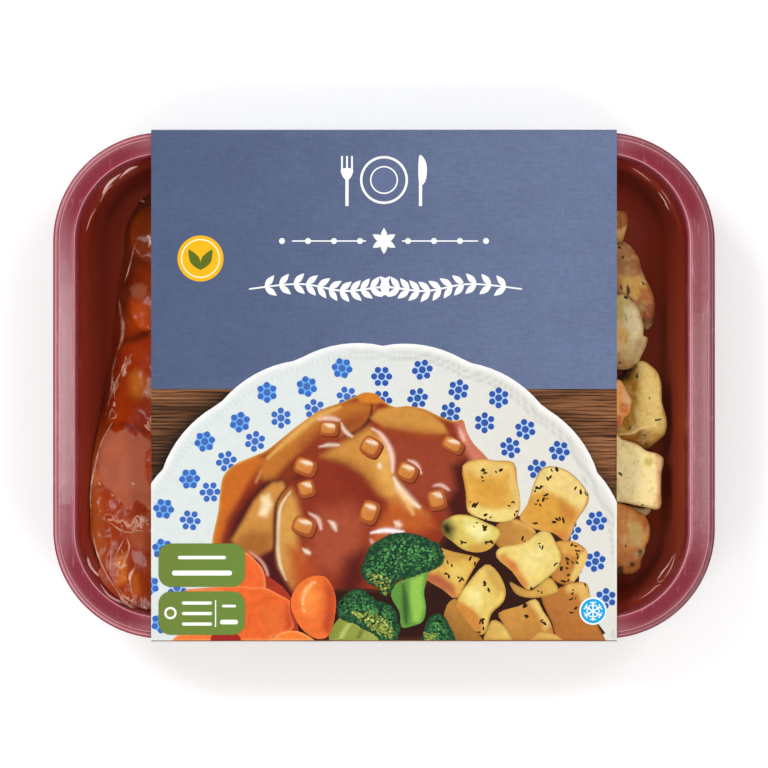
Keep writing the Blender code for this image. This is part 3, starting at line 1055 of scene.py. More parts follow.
def carry_over(marks):
    """What turns values at a grid's points into values at the points of its clipped faces."""
    first, second, share = (np.array(values) for values in zip(*marks))

    def carried(values):
        weight = share if values.ndim == 1 else share[:, None]
        return values[first] * (1 - weight) + values[second] * weight
    return carried


def gravy_mesh(points, upper, lower, faces):
    """A closed body between the gravy's surface and the tray."""
    count = len(points)
    vertices = [(x * MM, y * MM, z * MM) for (x, y), z in zip(points, upper)]
    for (x, y), low, top in zip(points, lower, upper):
        vertices.append((x * MM, y * MM, min(low, top - GRAVY_THINNEST) * MM))
    under = [[count + index for index in reversed(face)] for face in faces]
    sides = [[stop, start, count + start, count + stop] for start, stop in open_edges(faces)]
    return mesh_from("gravy_fill", vertices, faces + under + sides)


def make_gravy():
    xs, ys = gravy_grid()
    shape = len(ys), len(xs)
    points = np.array([(x, y) for y in ys for x in xs])
    tops, floors, coats = gravy_levels(points)
    tops = settled(tops.reshape(shape), coats.reshape(shape)).ravel()
    tops = tops + np.maximum(gravy_relief(points), -0.5) * np.clip((tops - floors) / 4.0, 0, 1)
    marks, faces = clipped_grid(len(xs), len(ys), tops - floors)
    carried = carry_over(marks)
    spots = carried(points)
    mesh = gravy_mesh(spots, carried(tops), carried(floors), faces)
    colours = gravy_tones()(spots / GRAVY_SCALE, None)
    calm = carried(patch_share(points, 0.5))
    set_paint(mesh, "tone", np.concatenate([colours, colours]))
    set_grey(mesh, "calm", np.concatenate([calm, calm]))
    add_piece("gravy_fill", mesh, [sauce()], ["gravy"], smooth_angle=60)
    make_gravy_folds(xs, ys, tops.reshape(shape), floors.reshape(shape))


def make_gravy_folds(xs, ys, tops, floors):
    """Folds and crinkles that stand on the gravy's surface."""
    def top_at(place):
        column = min(int((place.x - xs[0]) / GRAVY_CELLS[0]), len(xs) - 2)
        row = min(int((place.y - ys[0]) / GRAVY_CELLS[0]), len(ys) - 2)
        return max(tops[row:row + 2, column:column + 2].max(), floors[row, column])
    points, faces = ridges(GRAVY_FOLDS + gravy_crinkles(), top_at, GRAVY_SCALE, FOLD_RISE)
    mesh = mesh_from("gravy_folds_highlit", points, faces)
    add_piece("gravy_folds_highlit", mesh, [fold_highlight()], smooth_angle=60)


# Potato pieces, in pixels: outline, faces as (pixel, height in mm, slopes along x and y), colour and paint;
# the paint holds some painted shade and highlights

POTATO_CELL = 0.4
POTATO_EDGE = 1.5
POTATO_WARMTH = (1.05, 0.95, 0.76)
POTATO_DRAW_IN = 0.8
POTATO_FACE_BLEND = 0.5
FOOD_BASE = 1.7
# Rings down a piece's sides: how far each is drawn in to the middle, and its share of the height, which also
# sets how dark that ring is painted as shade
POTATO_RINGS = ((1.0, 0.72), (1.0, 0.35), (POTATO_DRAW_IN, 0.0))
SLIVER_HEIGHT = 18.5
SLIVER_EDGE = 1.0
# Rows of a grid of even triangles, as a share of the distance between its points
ROW_SHARE = 0.87
POTATOES = {
    "potato_1": (
        ((575, 211), (610, 210), (619, 210.5), (624, 211.5), (627, 215), (628, 222), (626, 231),
         (623.5, 240), (620, 244.5), (600, 246), (575, 246)),
        (((620, 228), 19.5, -0.1, 0.1),),
        "#a5641c",
        (area(((616, 230), (628, 226), (626, 245), (614, 246)), "#cfa05c", 0.74),
         border("#b98a58", 0.56, 0.6),
         line(((617, 214), (620, 222), (621, 232)), "#8a4a10", 0.99, 0.7)),
    ),
    "potato_2": (
        ((575, 246), (616, 244), (623.5, 241.5), (630.5, 246), (635.6, 252.3), (639.4, 259.3), (641, 267.6),
         (645.4, 278), (649.2, 285.5), (652, 292), (653.6, 297), (655, 308), (654.3, 318), (653.4, 323),
         (650, 328), (645.5, 330), (636, 322), (630, 300), (600, 294), (575, 290)),
        (((630, 270), 22.5, -0.22, 0.05),),
        "#a87444",
        (area(((612, 250), (632, 256), (640, 268), (630, 276), (612, 272)), "#9a6c38", 1.2),
         area(((634, 258), (641, 262), (642, 272), (636, 272)), "#9a5a28", 0.62, 0.6),
         area(((620, 276), (642, 278), (648, 290), (636, 300), (622, 292)), "#d0a556", 1.1),
         area(((640, 288), (651, 288), (655, 300), (648, 306), (640, 300)), "#aa6428", 0.9, 0.9),
         area(((641, 304), (656, 304), (655, 322), (643, 322)), "#883f0e", 0.9, 0.95),
         area(((640, 318), (656, 318), (654, 332), (640, 332)), "#5c3a18", 0.62, 0.8),
         # Painted highlight along the right edge
         line(((638, 255), (641.5, 268), (646, 279), (652, 292), (655, 306)), "#d8ac80", 0.5, 0.7),
         line(((622, 244), (630, 249), (636, 256)), "#8a4a28", 1.1, 0.7)),
    ),
    "potato_3": (
        ((575, 296), (612, 295), (624, 293.5), (630, 299), (635.4, 303.3), (639, 308.5), (641, 316),
         (644, 326), (643.6, 335), (647.6, 337.6), (646.8, 344), (644, 351), (641, 357), (639, 361.5),
         (635, 365.5), (631, 368.3), (624, 369.8), (612, 369), (575, 367)),
        (((628, 330), 27.5, -0.25, 0.0), ((640, 345), 26, -0.5, 0.1), ((625, 362), 25.5, -0.1, 0.6)),
        "#c9b483",
        (area(((614, 296), (626, 298), (628, 316), (614, 322)), "#aca252", 1.2, 0.8),
         # Painted highlight
         area(((624, 306), (638, 308), (641, 330), (634, 346), (626, 330)), "#d9d0b2", 1.5, 0.9),
         area(((618, 328), (628, 330), (630, 340), (618, 342)), "#cda552", 0.99, 0.8),
         area(((634, 340), (648, 338), (642, 358), (632, 364)), "#b09a76", 0.99, 0.8),
         area(((612, 352), (636, 354), (634, 370), (612, 370)), "#a5824f", 1.1, 0.9),
         line(((630, 297), (637, 304), (641, 315), (644, 326)), "#e6c8a0", 0.56, 0.7),
         line(((625, 314), (627, 322)), "#7c7430", 0.56, 0.8),
         line(((626, 337), (625.5, 343)), "#8a7434", 0.5, 0.7)),
    ),
    "potato_4": (
        ((632, 366), (639.4, 361), (646, 362), (651.5, 366), (656.4, 370.5), (659.3, 376), (661.3, 383.5),
         (661.8, 392), (662, 401.5), (664.5, 411), (666.5, 418), (667.1, 425.7), (665.2, 433.6),
         (660.8, 438.8), (655.6, 442.6), (650.5, 447), (646, 450), (640, 448), (630, 446), (614, 440),
         (608, 425), (610, 395), (620, 380)),
        (((650, 400), 24.5, 0.05, 0.06), ((640, 436), 23.5, 0.0, 1.1), ((630, 395), 23.0, 0.5, 0.0)),
        "#cdb468",
        # Painted shade on the left face, which turns from the light, and a painted shadow in its upper left
        (area(((612, 364), (640, 364), (640, 400), (634, 428), (612, 436)), "#9c7424", 2.1, 0.95),
         area(((612, 362), (636, 366), (630, 380), (612, 384)), "#2c1806", 1.2, 0.95),
         area(((642, 372), (660, 380), (663, 408), (660, 428), (644, 424), (640, 400)), "#d9c37c", 1.9,
              0.8),
         # Painted shade on the lower face, which turns away from the light
         area(((618, 436), (634, 433), (641, 429), (650, 431), (662, 436), (646, 452), (618, 442)),
              "#8f6220", 0.62),
         area(((648, 430), (666, 428), (661, 440), (650, 446)), "#bc9c54", 0.99, 0.8),
         # Painted highlight along the lit ridge
         line(((617, 434.5), (633, 433), (639, 429), (655, 425)), "#ead29c", 0.81, 0.9),
         line(((641, 362), (650, 365), (657, 371), (661, 383)), "#d2a67c", 0.56, 0.7),
         line(((662, 402), (666.6, 418), (667, 426), (664, 434)), "#e2c088", 0.56, 0.7)),
    ),
    "potato_5": (
        ((575, 380), (612, 380), (619, 379.5), (622.7, 383), (626.4, 390), (629.4, 395.5), (631.8, 399.6),
         (631, 406), (630, 411.5), (627.8, 415.3), (624, 417.6), (622, 424), (617, 430), (600, 431),
         (575, 430)),
        (((622, 402), 28.5, -0.25, 0.15),),
        "#eeac62",
        (area(((622, 384), (632, 396), (631, 408), (625, 404)), "#e0b78c", 0.62, 0.9),
         area(((620, 402), (630, 404), (627, 414), (620, 412)), "#cf6c2a", 0.62, 0.9),
         area(((612, 414), (622, 416), (620, 430), (612, 430)), "#b0503a", 0.87, 0.9),
         line(((618, 384), (622, 392), (624, 402)), "#e8a868", 0.87, 0.7)),
    ),
    "potato_6": (
        ((575, 436), (612, 434), (617, 435), (621.6, 439), (628, 441), (634.3, 442.9), (639.4, 445.5),
         (645.2, 449.9), (650.3, 451.9), (656, 453), (660.6, 455.5), (663.4, 458.6), (663.3, 465.3),
         (661.6, 473), (661.2, 489), (661.2, 496), (661.6, 503), (659.7, 508.3), (655, 509.6), (648.8, 508),
         (635, 505.3), (618, 502), (575, 500)),
        (((636, 475), 26.0, 0.04, -0.02), ((658, 475), 26.6, -0.5, 0.0)),
        "#f4e6b0",
        (area(((655, 452), (665, 458), (663, 508), (658, 508)), "#ddbb8c", 0.56, 0.9),
         line(((662.5, 460), (661, 475), (660.7, 495)), "#c79a62", 0.56, 0.8),
         area(((645, 458), (651, 457), (653, 463), (649, 467), (644, 465)), "#c2b850", 1.0, 0.8),
         area(((656, 496), (662, 494), (662, 509), (652, 510)), "#d9a878", 0.9, 0.8),
         line(((622, 440), (636, 444), (646, 450.5), (657, 454)), "#f6e2b8", 0.62, 0.8),
         area(((616, 462), (640, 460), (646, 490), (622, 496)), "#f0e4b8", 2.5, 0.7),
         line(((620, 501.5), (636, 504.5), (650, 507.5)), "#e2c07e", 0.62, 0.7)),
    ),
    "potato_7": (
        ((575, 503), (612, 502), (625.8, 505), (633, 507.6), (637.3, 512), (644.2, 515), (649, 523),
         (650.2, 532), (649, 540.5), (646, 546), (644.4, 553.5), (641.2, 560.4), (640.5, 567.5), (635, 573),
         (627.3, 574.6), (612, 574.6), (575, 573)),
        (((630, 538), 22.5, -0.18, 0.05), ((630, 565), 21.0, -0.1, 0.45)),
        "#cc8c44",
        (area(((616, 504), (634, 508), (640, 518), (622, 520), (614, 514)), "#c47e3c", 1.2, 0.9),
         area(((638, 514), (648, 520), (650, 534), (643, 532), (640, 522)), "#a8581e", 1.2, 0.8),
         area(((628, 524), (640, 522), (644, 536), (640, 546), (630, 546)), "#cbb072", 0.99, 0.9),
         area(((612, 515), (621, 518), (623, 548), (614, 552)), "#cc8034", 0.99, 0.9),
         area(((618, 552), (638, 550), (640, 566), (624, 572), (614, 566)), "#bd7234", 1.2, 0.9),
         area(((638, 549), (643, 550), (642, 556), (638, 556)), "#1c0e06", 0.43, 0.9),
         area(((628, 563), (635, 562), (634, 567), (628, 567)), "#5a1c0c", 0.43, 0.8),
         area(((614, 567), (623, 566), (624, 575), (614, 575)), "#1c1008", 0.62, 0.9),
         line(((645, 516), (650, 526), (650, 538), (645, 550)), "#b9907a", 0.62, 0.6),
         line(((622, 520), (625, 534), (624, 548)), "#e0a458", 0.74, 0.6)),
    ),
}
HERB_SHARES = (1.0, 0.6, 0.45)
# Without a seed of its own the noise that crumples the flecks would change from run to run
HERB_SEED = 1
HERB_LIFT = 0.15
HERB_THICKNESS = 0.16
POTATO_SLIVER = ((630, 506), (640, 508), (650, 508), (650, 512), (646, 516), (638, 516), (628, 512))
HERBS = (
    ((627.6, 284), (628.2, 297), 1.0, "potato_3"),
    ((622, 255), (624, 259), 0.7, "potato_2"),
    ((618, 246), (622, 249), 0.9, "potato_2"),
    ((641, 281), (645, 285), 0.6, "potato_2"),
    ((620, 284), (622, 290), 0.9, "potato_2"),
    ((624, 296), (628, 299), 0.9, "potato_3"),
    ((619, 361), (621, 364), 0.9, "potato_3"),
    ((634, 365), (637, 366), 0.7, "potato_3"),
    ((638, 372), (636, 379), 0.7, "potato_4"),
    ((651.5, 422.5), (661.8, 418.5), 0.75, "potato_4"),
    ((631.5, 425.5), (628.5, 430), 0.6, "potato_4"),
    ((649, 398.2), (650.4, 398.2), 0.6, "potato_4"),
    ((644, 435), (646, 435.4), 0.6, "potato_4"),
    ((645.4, 443.4), (646.6, 443.4), 0.5, "potato_4"),
    ((618, 472), (622.7, 476), 0.9, "potato_6"),
    ((641, 505), (644, 505), 0.5, "potato_6"),
    ((625, 545), (626, 547), 0.7, "potato_7"),
    ((639, 553), (641, 551), 0.9, "potato_7"),
    ((630, 563.5), (633, 564), 0.7, "potato_7"),
    ((618, 569), (622, 571), 1.0, "potato_7"),
)


def potato_flesh(name="potato_flesh", code=None):
    """Roast potato: dry, floury flesh with a little oil, browned where its colour says so."""
    nodes = Nodes(name)
    tone = nodes.paint("tone")
    cloud = nodes.noise(260, 4)
    if code:
        tone = nodes.mix(nodes.range(cloud, 0.4, 0.7), linear(code), linear("#a8703a"))
    brown = nodes.noise(560, 5, 0.7)
    colour = nodes.mix(nodes.range(brown, 0.53, 0.66, 0.0, 0.4), tone, linear("#a8682a"))
    colour = nodes.mix(nodes.range(cloud, 0.5, 0.75, 0.0, 0.35), colour, linear("#f2e2a8"))
    spots = nodes.noise(1000, 3)
    colour = nodes.mix(nodes.range(spots, 0.62, 0.75, 0.0, 0.2), colour, linear("#7c4818"))
    nodes.set(Base_Color=colour, Roughness=nodes.range(cloud, 0.3, 0.7, 0.35, 0.55), Specular_IOR_Level=0.25)
    nodes.bump(nodes.maths("ADD", nodes.noise(1100, 4), nodes.noise(330, 3)), 0.45, 0.0005)
    return nodes.material


def potato_height(name, points):
    """The height of a piece's uncut top at points on the sleeve's plane, in mm."""
    faces = POTATOES[name][1]
    total = np.zeros(len(points))
    for (px, py), height, slope_x, slope_y in faces:
        spot = photo_mm(px, py)
        level = height + (points[:, 0] - spot.x) * slope_x + (points[:, 1] - spot.y) * slope_y
        total += np.exp(-level / POTATO_FACE_BLEND)
    return -POTATO_FACE_BLEND * np.log(total)


def inner_grid(outline, cell):
    """Staggered points inside an outline, clear of its edge."""
    xs, ys = [point.x for point in outline], [point.y for point in outline]
    columns = int((max(xs) - min(xs)) / cell) + 1
    rows = int((max(ys) - min(ys)) / cell / ROW_SHARE) + 1
    grid = np.array([(min(xs) + (column + 0.5 * (row % 2)) * cell, min(ys) + row * cell * ROW_SHARE)
                     for row in range(rows) for column in range(columns)])
    grid = grid[inside(grid, outline)]
    if len(grid):
        grid = grid[line_distance(grid, outline, closed=True) > cell * 0.4]
    return [Vector(point) for point in grid]


def fill_outline(outline, cell):
    """Flat points and triangles that fill an outline; the outline's own points come first."""
    count = len(outline)
    coords = [Vector(point) for point in outline] + (inner_grid(outline, cell) if cell else [])
    result = delaunay_2d_cdt(coords, [(index, (index + 1) % count) for index in range(count)],
                             [list(range(count))], 1, 1e-5)
    flat, triangles = result[0], []
    for face in result[2]:
        a, b, c = (flat[index] for index in face[:3])
        turned = (b.x - a.x) * (c.y - a.y) - (b.y - a.y) * (c.x - a.x)
        triangles.append(list(face) if turned > 0 else list(reversed(face)))
    return flat, triangles


def open_edges(faces):
    """Directed edges that only one face has."""
    pairs = {(start, stop) for face in faces for start, stop in zip(face, face[1:] + face[:1])}
    return [pair for pair in pairs if (pair[1], pair[0]) not in pairs]


def block_tops(points, reach, heights, edge_radius, seed):
    """The heights of a piece's top in mm: its cut faces, rounded edges and unevenness."""
    inward = np.clip(edge_radius - reach, 0, edge_radius)
    tops = heights(points)
    tops = tops - (edge_radius - np.sqrt(np.maximum(edge_radius ** 2 - inward ** 2, 0)))
    for index, (x, y) in enumerate(points):
        place = Vector((x * 0.28, y * 0.28, seed))
        tops[index] += noise.noise(place) * 0.55 + noise.noise(place * 3.3) * 0.22
    return tops


def drop_loose(shape):
    loose = [vert for vert in shape.verts if not vert.link_faces]
    bmesh.ops.delete(shape, geom=loose, context="VERTS")


def make_block(name, outline, heights, paint, material, edge_radius, replaced):
    """A cut piece: a painted top with rounded edges, and sides that draw in to the base, painted in shade."""
    flat, faces = fill_outline(outline, POTATO_CELL)
    points = np.array([tuple(point) for point in flat])
    reach = line_distance(points, outline, closed=True)
    tops = block_tops(points, reach, heights, edge_radius, len(outline) * 0.7)
    colours = np.clip(paint(points, reach) * POTATO_WARMTH, 0, 1)
    middle = points.mean(axis=0)
    count = len(points)
    spots = [(x * view_scale(z) * MM, y * view_scale(z) * MM, z * MM) for (x, y), z in zip(points, tops)]
    tops_and_shaded_sides, sides = [colours], []
    edges = open_edges(faces)
    for ring, (draw_in, share) in enumerate(POTATO_RINGS):
        for point, z in zip(points, tops):
            x, y = (middle + (point - middle) * draw_in) * view_scale(z) * MM
            spots.append((x, y, (FOOD_BASE + (z - FOOD_BASE) * share) * MM))
        # Painted shade: each ring of the sides darker towards the base
        tops_and_shaded_sides.append(colours * (0.4 + 0.35 * share))
        upper, lower = ring * count, (ring + 1) * count
        sides += [[upper + stop, upper + start, lower + start, lower + stop] for start, stop in edges]
    bottom = [[len(POTATO_RINGS) * count + index for index in reversed(face)] for face in faces]
    mesh = mesh_from(name, spots, faces + sides + bottom)
    set_paint(mesh, "tone", np.concatenate(tops_and_shaded_sides))
    change_mesh(mesh, drop_loose)
    add_piece(name, mesh, [material], replaced, smooth_angle=70)


def make_potatoes():
    flesh = potato_flesh()
    for name, (pixels, _, code, steps) in POTATOES.items():
        outline = curved(photo_path(pixels), 3)
        make_block(f"roast_{name}", outline, lambda points: potato_height(name, points),
                   painted(code, *steps), flesh, POTATO_EDGE, [name])
    outline = curved(photo_path(POTATO_SLIVER), 3)
    make_block("roast_potato_sliver", outline, lambda points: np.full(len(points), SLIVER_HEIGHT),
               painted("#b59f7c"), flesh, SLIVER_EDGE, [])
    hidden = potato_flesh("potato_hidden", "#dcbf7c")
    meat = sauce("pork_coated", "#a8551c")
    for thing in bpy.context.scene.objects:
        if thing.name.startswith("potato_under_sleeve"):
            finish_node(thing, hidden)
        elif thing.name.startswith("pork_slice"):
            finish_node(thing, meat)


def finish_node(thing, material):
    """Gives a solid that the scene keeps its own finish."""
    thing.data.materials.clear()
    thing.data.materials.append(material)


def herb_leaf():
    """Dried herb: dark, dull green-brown."""
    nodes = Nodes("herb_leaf")
    nodes.set(Base_Color=nodes.ramp(nodes.noise(900, 2), (0.35, "#22160a"), (0.7, "#564620")), Roughness=0.7)
    return nodes.material


def herb_fleck(shape, draw, first, last, width, name, share):
    """Adds one crumpled fleck, of a share of the length between two points, to a shape."""
    away = (last - first) * share
    middle = (first + last) / 2 + Vector((draw.uniform(-0.6, 0.6), draw.uniform(-0.6, 0.6))) * (1 - share)
    height = potato_height(name, np.array([tuple(middle)]))[0] + HERB_LIFT
    angle = math.atan2(away.y, away.x) + draw.uniform(-1, 1) * (1 - share) * 2
    size = Matrix.Diagonal((away.length / 2 * MM, width / 2 * 0.7 * MM, HERB_THICKNESS * MM, 1.0))
    scale = view_scale(height)
    spot = Matrix.Translation(Vector((middle.x * scale, middle.y * scale, height)) * MM)
    place = spot @ Matrix.Rotation(angle, 4, "Z") @ size
    for vert in bmesh.ops.create_icosphere(shape, subdivisions=2, radius=1.0, matrix=place)["verts"]:
        vert.co += noise.noise_vector(vert.co * 1500 + Vector((share, 0, 0))) * 0.25 * MM


def make_herbs():
    """Dark flecks of herb that lie on the potato, each with two smaller ones round it."""
    draw = random.Random(8)
    noise.seed_set(HERB_SEED)
    shape = bmesh.new()
    for start, stop, width, name in HERBS:
        for share in HERB_SHARES:
            herb_fleck(shape, draw, photo_mm(*start), photo_mm(*stop), width, name, share)
    mesh = bpy.data.meshes.new("herb_flecks")
    shape.to_mesh(mesh)
    shape.free()
    add_piece("herb_flecks", mesh, [herb_leaf()], smooth_angle=80)


def make_food():
    make_gravy()
    make_potatoes()
    make_herbs()


# Card sleeve

CARD = 0.5 * MM
SLEEVE_REACH = SLEEVE_HIGH.y
SLEEVE_BASE_REACH = 70 * MM
SLEEVE_CREASE_DROP = 5.4 * MM
SLEEVE_TOP_RADIUS = 0.35 * MM
SLEEVE_INNER_RADIUS = 0.15 * MM
SLEEVE_BASE_RADIUS = 1.5 * MM
SLEEVE_BEND_STEPS = 8
SLEEVE_LENGTH_STEPS = 4
SLEEVE_SIDE_FROM = 0.6 * MM
# The card's finishes, in the order of its materials
OUTSIDE, INSIDE, CUT_EDGE = range(3)


def bend(centre_y, centre_z, radius, start, stop):
    """Points of a crease in the sleeve's section, from one angle to another in degrees."""
    points = []
    for step in range(SLEEVE_BEND_STEPS + 1):
        angle = math.radians(start + (stop - start) * step / SLEEVE_BEND_STEPS)
        points.append((centre_y + radius * math.cos(angle), centre_z + radius * math.sin(angle)))
    return points


def sleeve_section(inward):
    """The sleeve's closed section as (y, z), moved in from its outer face by this much."""
    crease_z = SLEEVE_TOP - SLEEVE_CREASE_DROP
    lean = math.degrees(math.atan2(SLEEVE_REACH - SLEEVE_BASE_REACH, crease_z))
    radius = SLEEVE_INNER_RADIUS if inward else SLEEVE_TOP_RADIUS
    top = bend(SLEEVE_REACH - inward - radius, SLEEVE_TOP - inward - radius, radius, 90, 0)
    reach = SLEEVE_BASE_RADIUS * math.tan(math.radians(45 - lean / 2))
    base = bend(SLEEVE_BASE_REACH - reach, SLEEVE_BASE_RADIUS, SLEEVE_BASE_RADIUS - inward, -lean, -90)
    right = [*top, (SLEEVE_REACH - inward, crease_z - inward * 0.2), *base]
    return right + [(-y, z) for y, z in reversed(right)]


def card_ink():
    """The outside of the card where nothing is printed over it: slate towards +Y, wood brown towards -Y."""
    nodes = Nodes("card_ink")
    weave = nodes.noise(1500, 2, stretch=(1.0, 0.3, 1.0))
    slate = nodes.mix(nodes.range(weave, 0.35, 0.65), linear("#505c7a"), linear("#667292"))
    grain = nodes.noise(60, 6, 0.65, stretch=(0.35, 4.0, 4.0))
    wood = nodes.ramp(grain, (0.3, "#3c2212"), (0.5, "#7d5236"), (0.7, "#9a6b4a"))
    side = nodes.channels(nodes.paint("side"))[0]
    nodes.set(Base_Color=nodes.mix(side, slate, wood), Roughness=0.5)
    return nodes.material


def sleeve_faces(count):
    """The card's faces, round sections of twice this many points, and the finish of each."""
    faces, finishes = [], []
    row = 2 * count
    for station in range(SLEEVE_LENGTH_STEPS):
        for index in range(count):
            after = (index + 1) % count
            near, far = station * row, (station + 1) * row
            faces.append((near + index, far + index, far + after, near + after))
            near, far = near + count, far + count
            faces.append((near + index, near + after, far + after, far + index))
            finishes += [OUTSIDE, INSIDE]
    for near in (0, SLEEVE_LENGTH_STEPS * row):
        for index in range(count):
            after = (index + 1) % count
            faces.append((near + index, near + after, near + count + after, near + count + index))
            finishes.append(CUT_EDGE)
    return faces, finishes


def make_sleeve():
    outer, inner = sleeve_section(0.0), sleeve_section(CARD)
    points = []
    for step in range(SLEEVE_LENGTH_STEPS + 1):
        x = SLEEVE_LOW.x + (SLEEVE_HIGH.x - SLEEVE_LOW.x) * step / SLEEVE_LENGTH_STEPS
        points += [Vector((x, y, z)) for y, z in outer + inner]
    faces, finishes = sleeve_faces(len(outer))
    mesh = mesh_from("sleeve_card", points, faces)
    for face, finish in zip(mesh.polygons, finishes):
        face.material_index = finish
    change_mesh(mesh, lambda shape: bmesh.ops.recalc_face_normals(shape, faces=shape.faces[:]))
    near_side = (vert.co.y < 0 and vert.co.z > SLEEVE_SIDE_FROM for vert in mesh.vertices)
    set_grey(mesh, "side", [1.0 if side else 0.0 for side in near_side])
    materials = [card_ink(), board("board_inside", "#b9b4a6"), board("board_edge", "#e9e6dd")]
    add_piece("sleeve_card", mesh, materials, ["card_sleeve"], smooth_angle=40)


# The print: flat layers on the card, a little above one another

PRINT_LIFT = 0.02 * MM
LAYER = 0.012 * MM
OWN_LIFT = 0.0002 * MM
OWN_LIFTS = 37
WOOD_FROM = photo_mm(384, 389).y
PLATE_CENTRE = photo_mm(383, 604)
PLATE_RADIUS = 260.6 * PX / MM
PLATE_LOBE = 5.0 * PX / MM
LOBE_ANGLE = 19.5
# The plate narrows a little towards the right: its share for each radian from the top
PLATE_NARROWING = 0.026
# Where the plate's rim has its faint lines, and where its ticks run, as insets in mm
RIM_LINES = (3.2, 4.9)
TICK_INSETS = (2.4, 3.4, 4.6)
WOOD_ROWS = 260
# The ticks: how many, their distance in degrees and where they start
TICKS = 90
TICK_ANGLE = 1.25
TICKS_FROM = 20
# The flowers, each value first for the plate's left half and then for its right: their turns in degrees, as
# first and step, how far they bend from a circle, and their colours
FLOWER_TURNS = ((-0.4, 9.45), (-0.35, 9.88))
FLOWER_BENDS = ((9.0e-4, -1.2e-5), (1.0e-4, -9.0e-6))
FLOWER_PETALS = ("#3866b8", "#2c52a2")
FLOWER_HEARTS = ("#4566b0", "#31539c")
FLOWER_GROUNDS = ("#b4ceee", "#b0cdee")
BRIGHT_GROUND = "#6cacea"
# The outer and the inner flower's distance from the plate's middle in pixels, for even and for odd steps
FLOWER_RINGS = ((227.5, 203.5), (237.5, 208.8))
FLOWER_STEPS = range(-11, 12)
# Sizes in a flower, in mm: its ground when outer and inner, its heart, its petals and where they stand
OUTER_GROUND, INNER_GROUND = 3.0, 2.2
HEART_RADIUS = 1.2
PETALS = 6
PETAL_RADIUS = 1.05
PETAL_REACH = 2.5
FACE_LOW = Vector((SLEEVE_LOW.x, -SLEEVE_REACH + SLEEVE_TOP_RADIUS)) / MM
FACE_HIGH = Vector((SLEEVE_HIGH.x, SLEEVE_REACH - SLEEVE_TOP_RADIUS)) / MM


def clip(outline, low, high):
    """The part of an outline that is inside an upright box."""
    points = [Vector(point) for point in outline]
    for axis in (0, 1):
        for limit, sign in ((low[axis], 1), (high[axis], -1)):
            kept = []
            for start, stop in zip(points, points[1:] + points[:1]):
                a, b = (start[axis] - limit) * sign, (stop[axis] - limit) * sign
                if a >= 0:
                    kept.append(start)
                if (a >= 0) != (b >= 0):
                    kept.append(start.lerp(stop, a / (a - b)))
            points = kept
            if not points:
                return []
    return points


def disc(centre, radius, sides=14, squash=1.0, turn=0.0):
    """A round or oval outline."""
    points = []
    for side in range(sides):
        way = heading(math.tau * side / sides)
        point = Vector((way.x * radius, way.y * radius * squash))
        point.rotate(Matrix.Rotation(turn, 2))
        points.append(Vector(centre) + point)
    return points


def stroke(path, widths):
    """A tapering outline along a path, as wide as the widths say."""
    left, right = [], []
    count = len(path)
    for index, point in enumerate(path):
        along = path[min(index + 1, count - 1)] - path[max(index - 1, 0)]
        side = Vector((-along.y, along.x)).normalized()
        share = index / (count - 1) * (len(widths) - 1)
        first = min(int(share), len(widths) - 2)
        width = widths[first] + (widths[first + 1] - widths[first]) * (share - first)
        left.append(point + side * width / 2)
        right.append(point - side * width / 2)
    return left + right[::-1]


class Print:
    """One object of the print, gathered from flat patches."""

    def __init__(self, name, material):
        self.name, self.material = name, material
        self.points, self.faces, self.colours, self.patches = [], [], [], 0

    def add(self, outline, level, paint, cell=None):
        """Fills an outline; paint is a hex colour or a function of points and their distance to the edge."""
        outline = clip(outline, FACE_LOW, FACE_HIGH)
        if len(outline) < 3:
            return
        flat, triangles = fill_outline(outline, cell)
        start = len(self.points)
        self.patches += 1
        z = SLEEVE_TOP + PRINT_LIFT + level * LAYER + (self.patches % OWN_LIFTS) * OWN_LIFT
        self.points += [Vector((point.x * MM, point.y * MM, z)) for point in flat]
        self.faces += [[start + index for index in face] for face in triangles]
        if isinstance(paint, str):
            self.colours += [linear(paint)] * len(flat)
        else:
            points = np.array([tuple(point) for point in flat])
            edge = line_distance(points, outline, closed=True)
            self.colours += [list(colour) for colour in paint(points, edge)]

    def finish(self):
        mesh = mesh_from(self.name, self.points, self.faces)
        set_paint(mesh, "ink", self.colours)
        add_piece(self.name, mesh, [self.material])


def ink(name, low=0.9, high=1.08, scale=900, detail=3):
    """Printed colour with a slight mottle."""
    nodes = Nodes(name)
    mottle = nodes.range(nodes.noise(scale, detail), 0.3, 0.7, low, high)
    return nodes.printed(nodes.paint("ink"), nodes.grey(mottle))


def slate_ink():
    """Slate blue with a woven look."""
    nodes = Nodes("slate_ink")
    across = nodes.noise(1300, 2, stretch=(0.25, 1.0, 1.0))
    up = nodes.noise(1300, 2, stretch=(1.0, 0.25, 1.0))
    cloud = nodes.noise(60, 4)
    up_shade = nodes.range(up, 0.3, 0.7, -0.05, 0.05)
    weave = nodes.maths("ADD", nodes.range(across, 0.3, 0.7, -0.07, 0.07), up_shade)
    shade = nodes.maths("ADD", weave, nodes.range(cloud, 0.3, 0.7, 0.95, 1.05))
    return nodes.printed(nodes.paint("ink"), nodes.grey(shade))


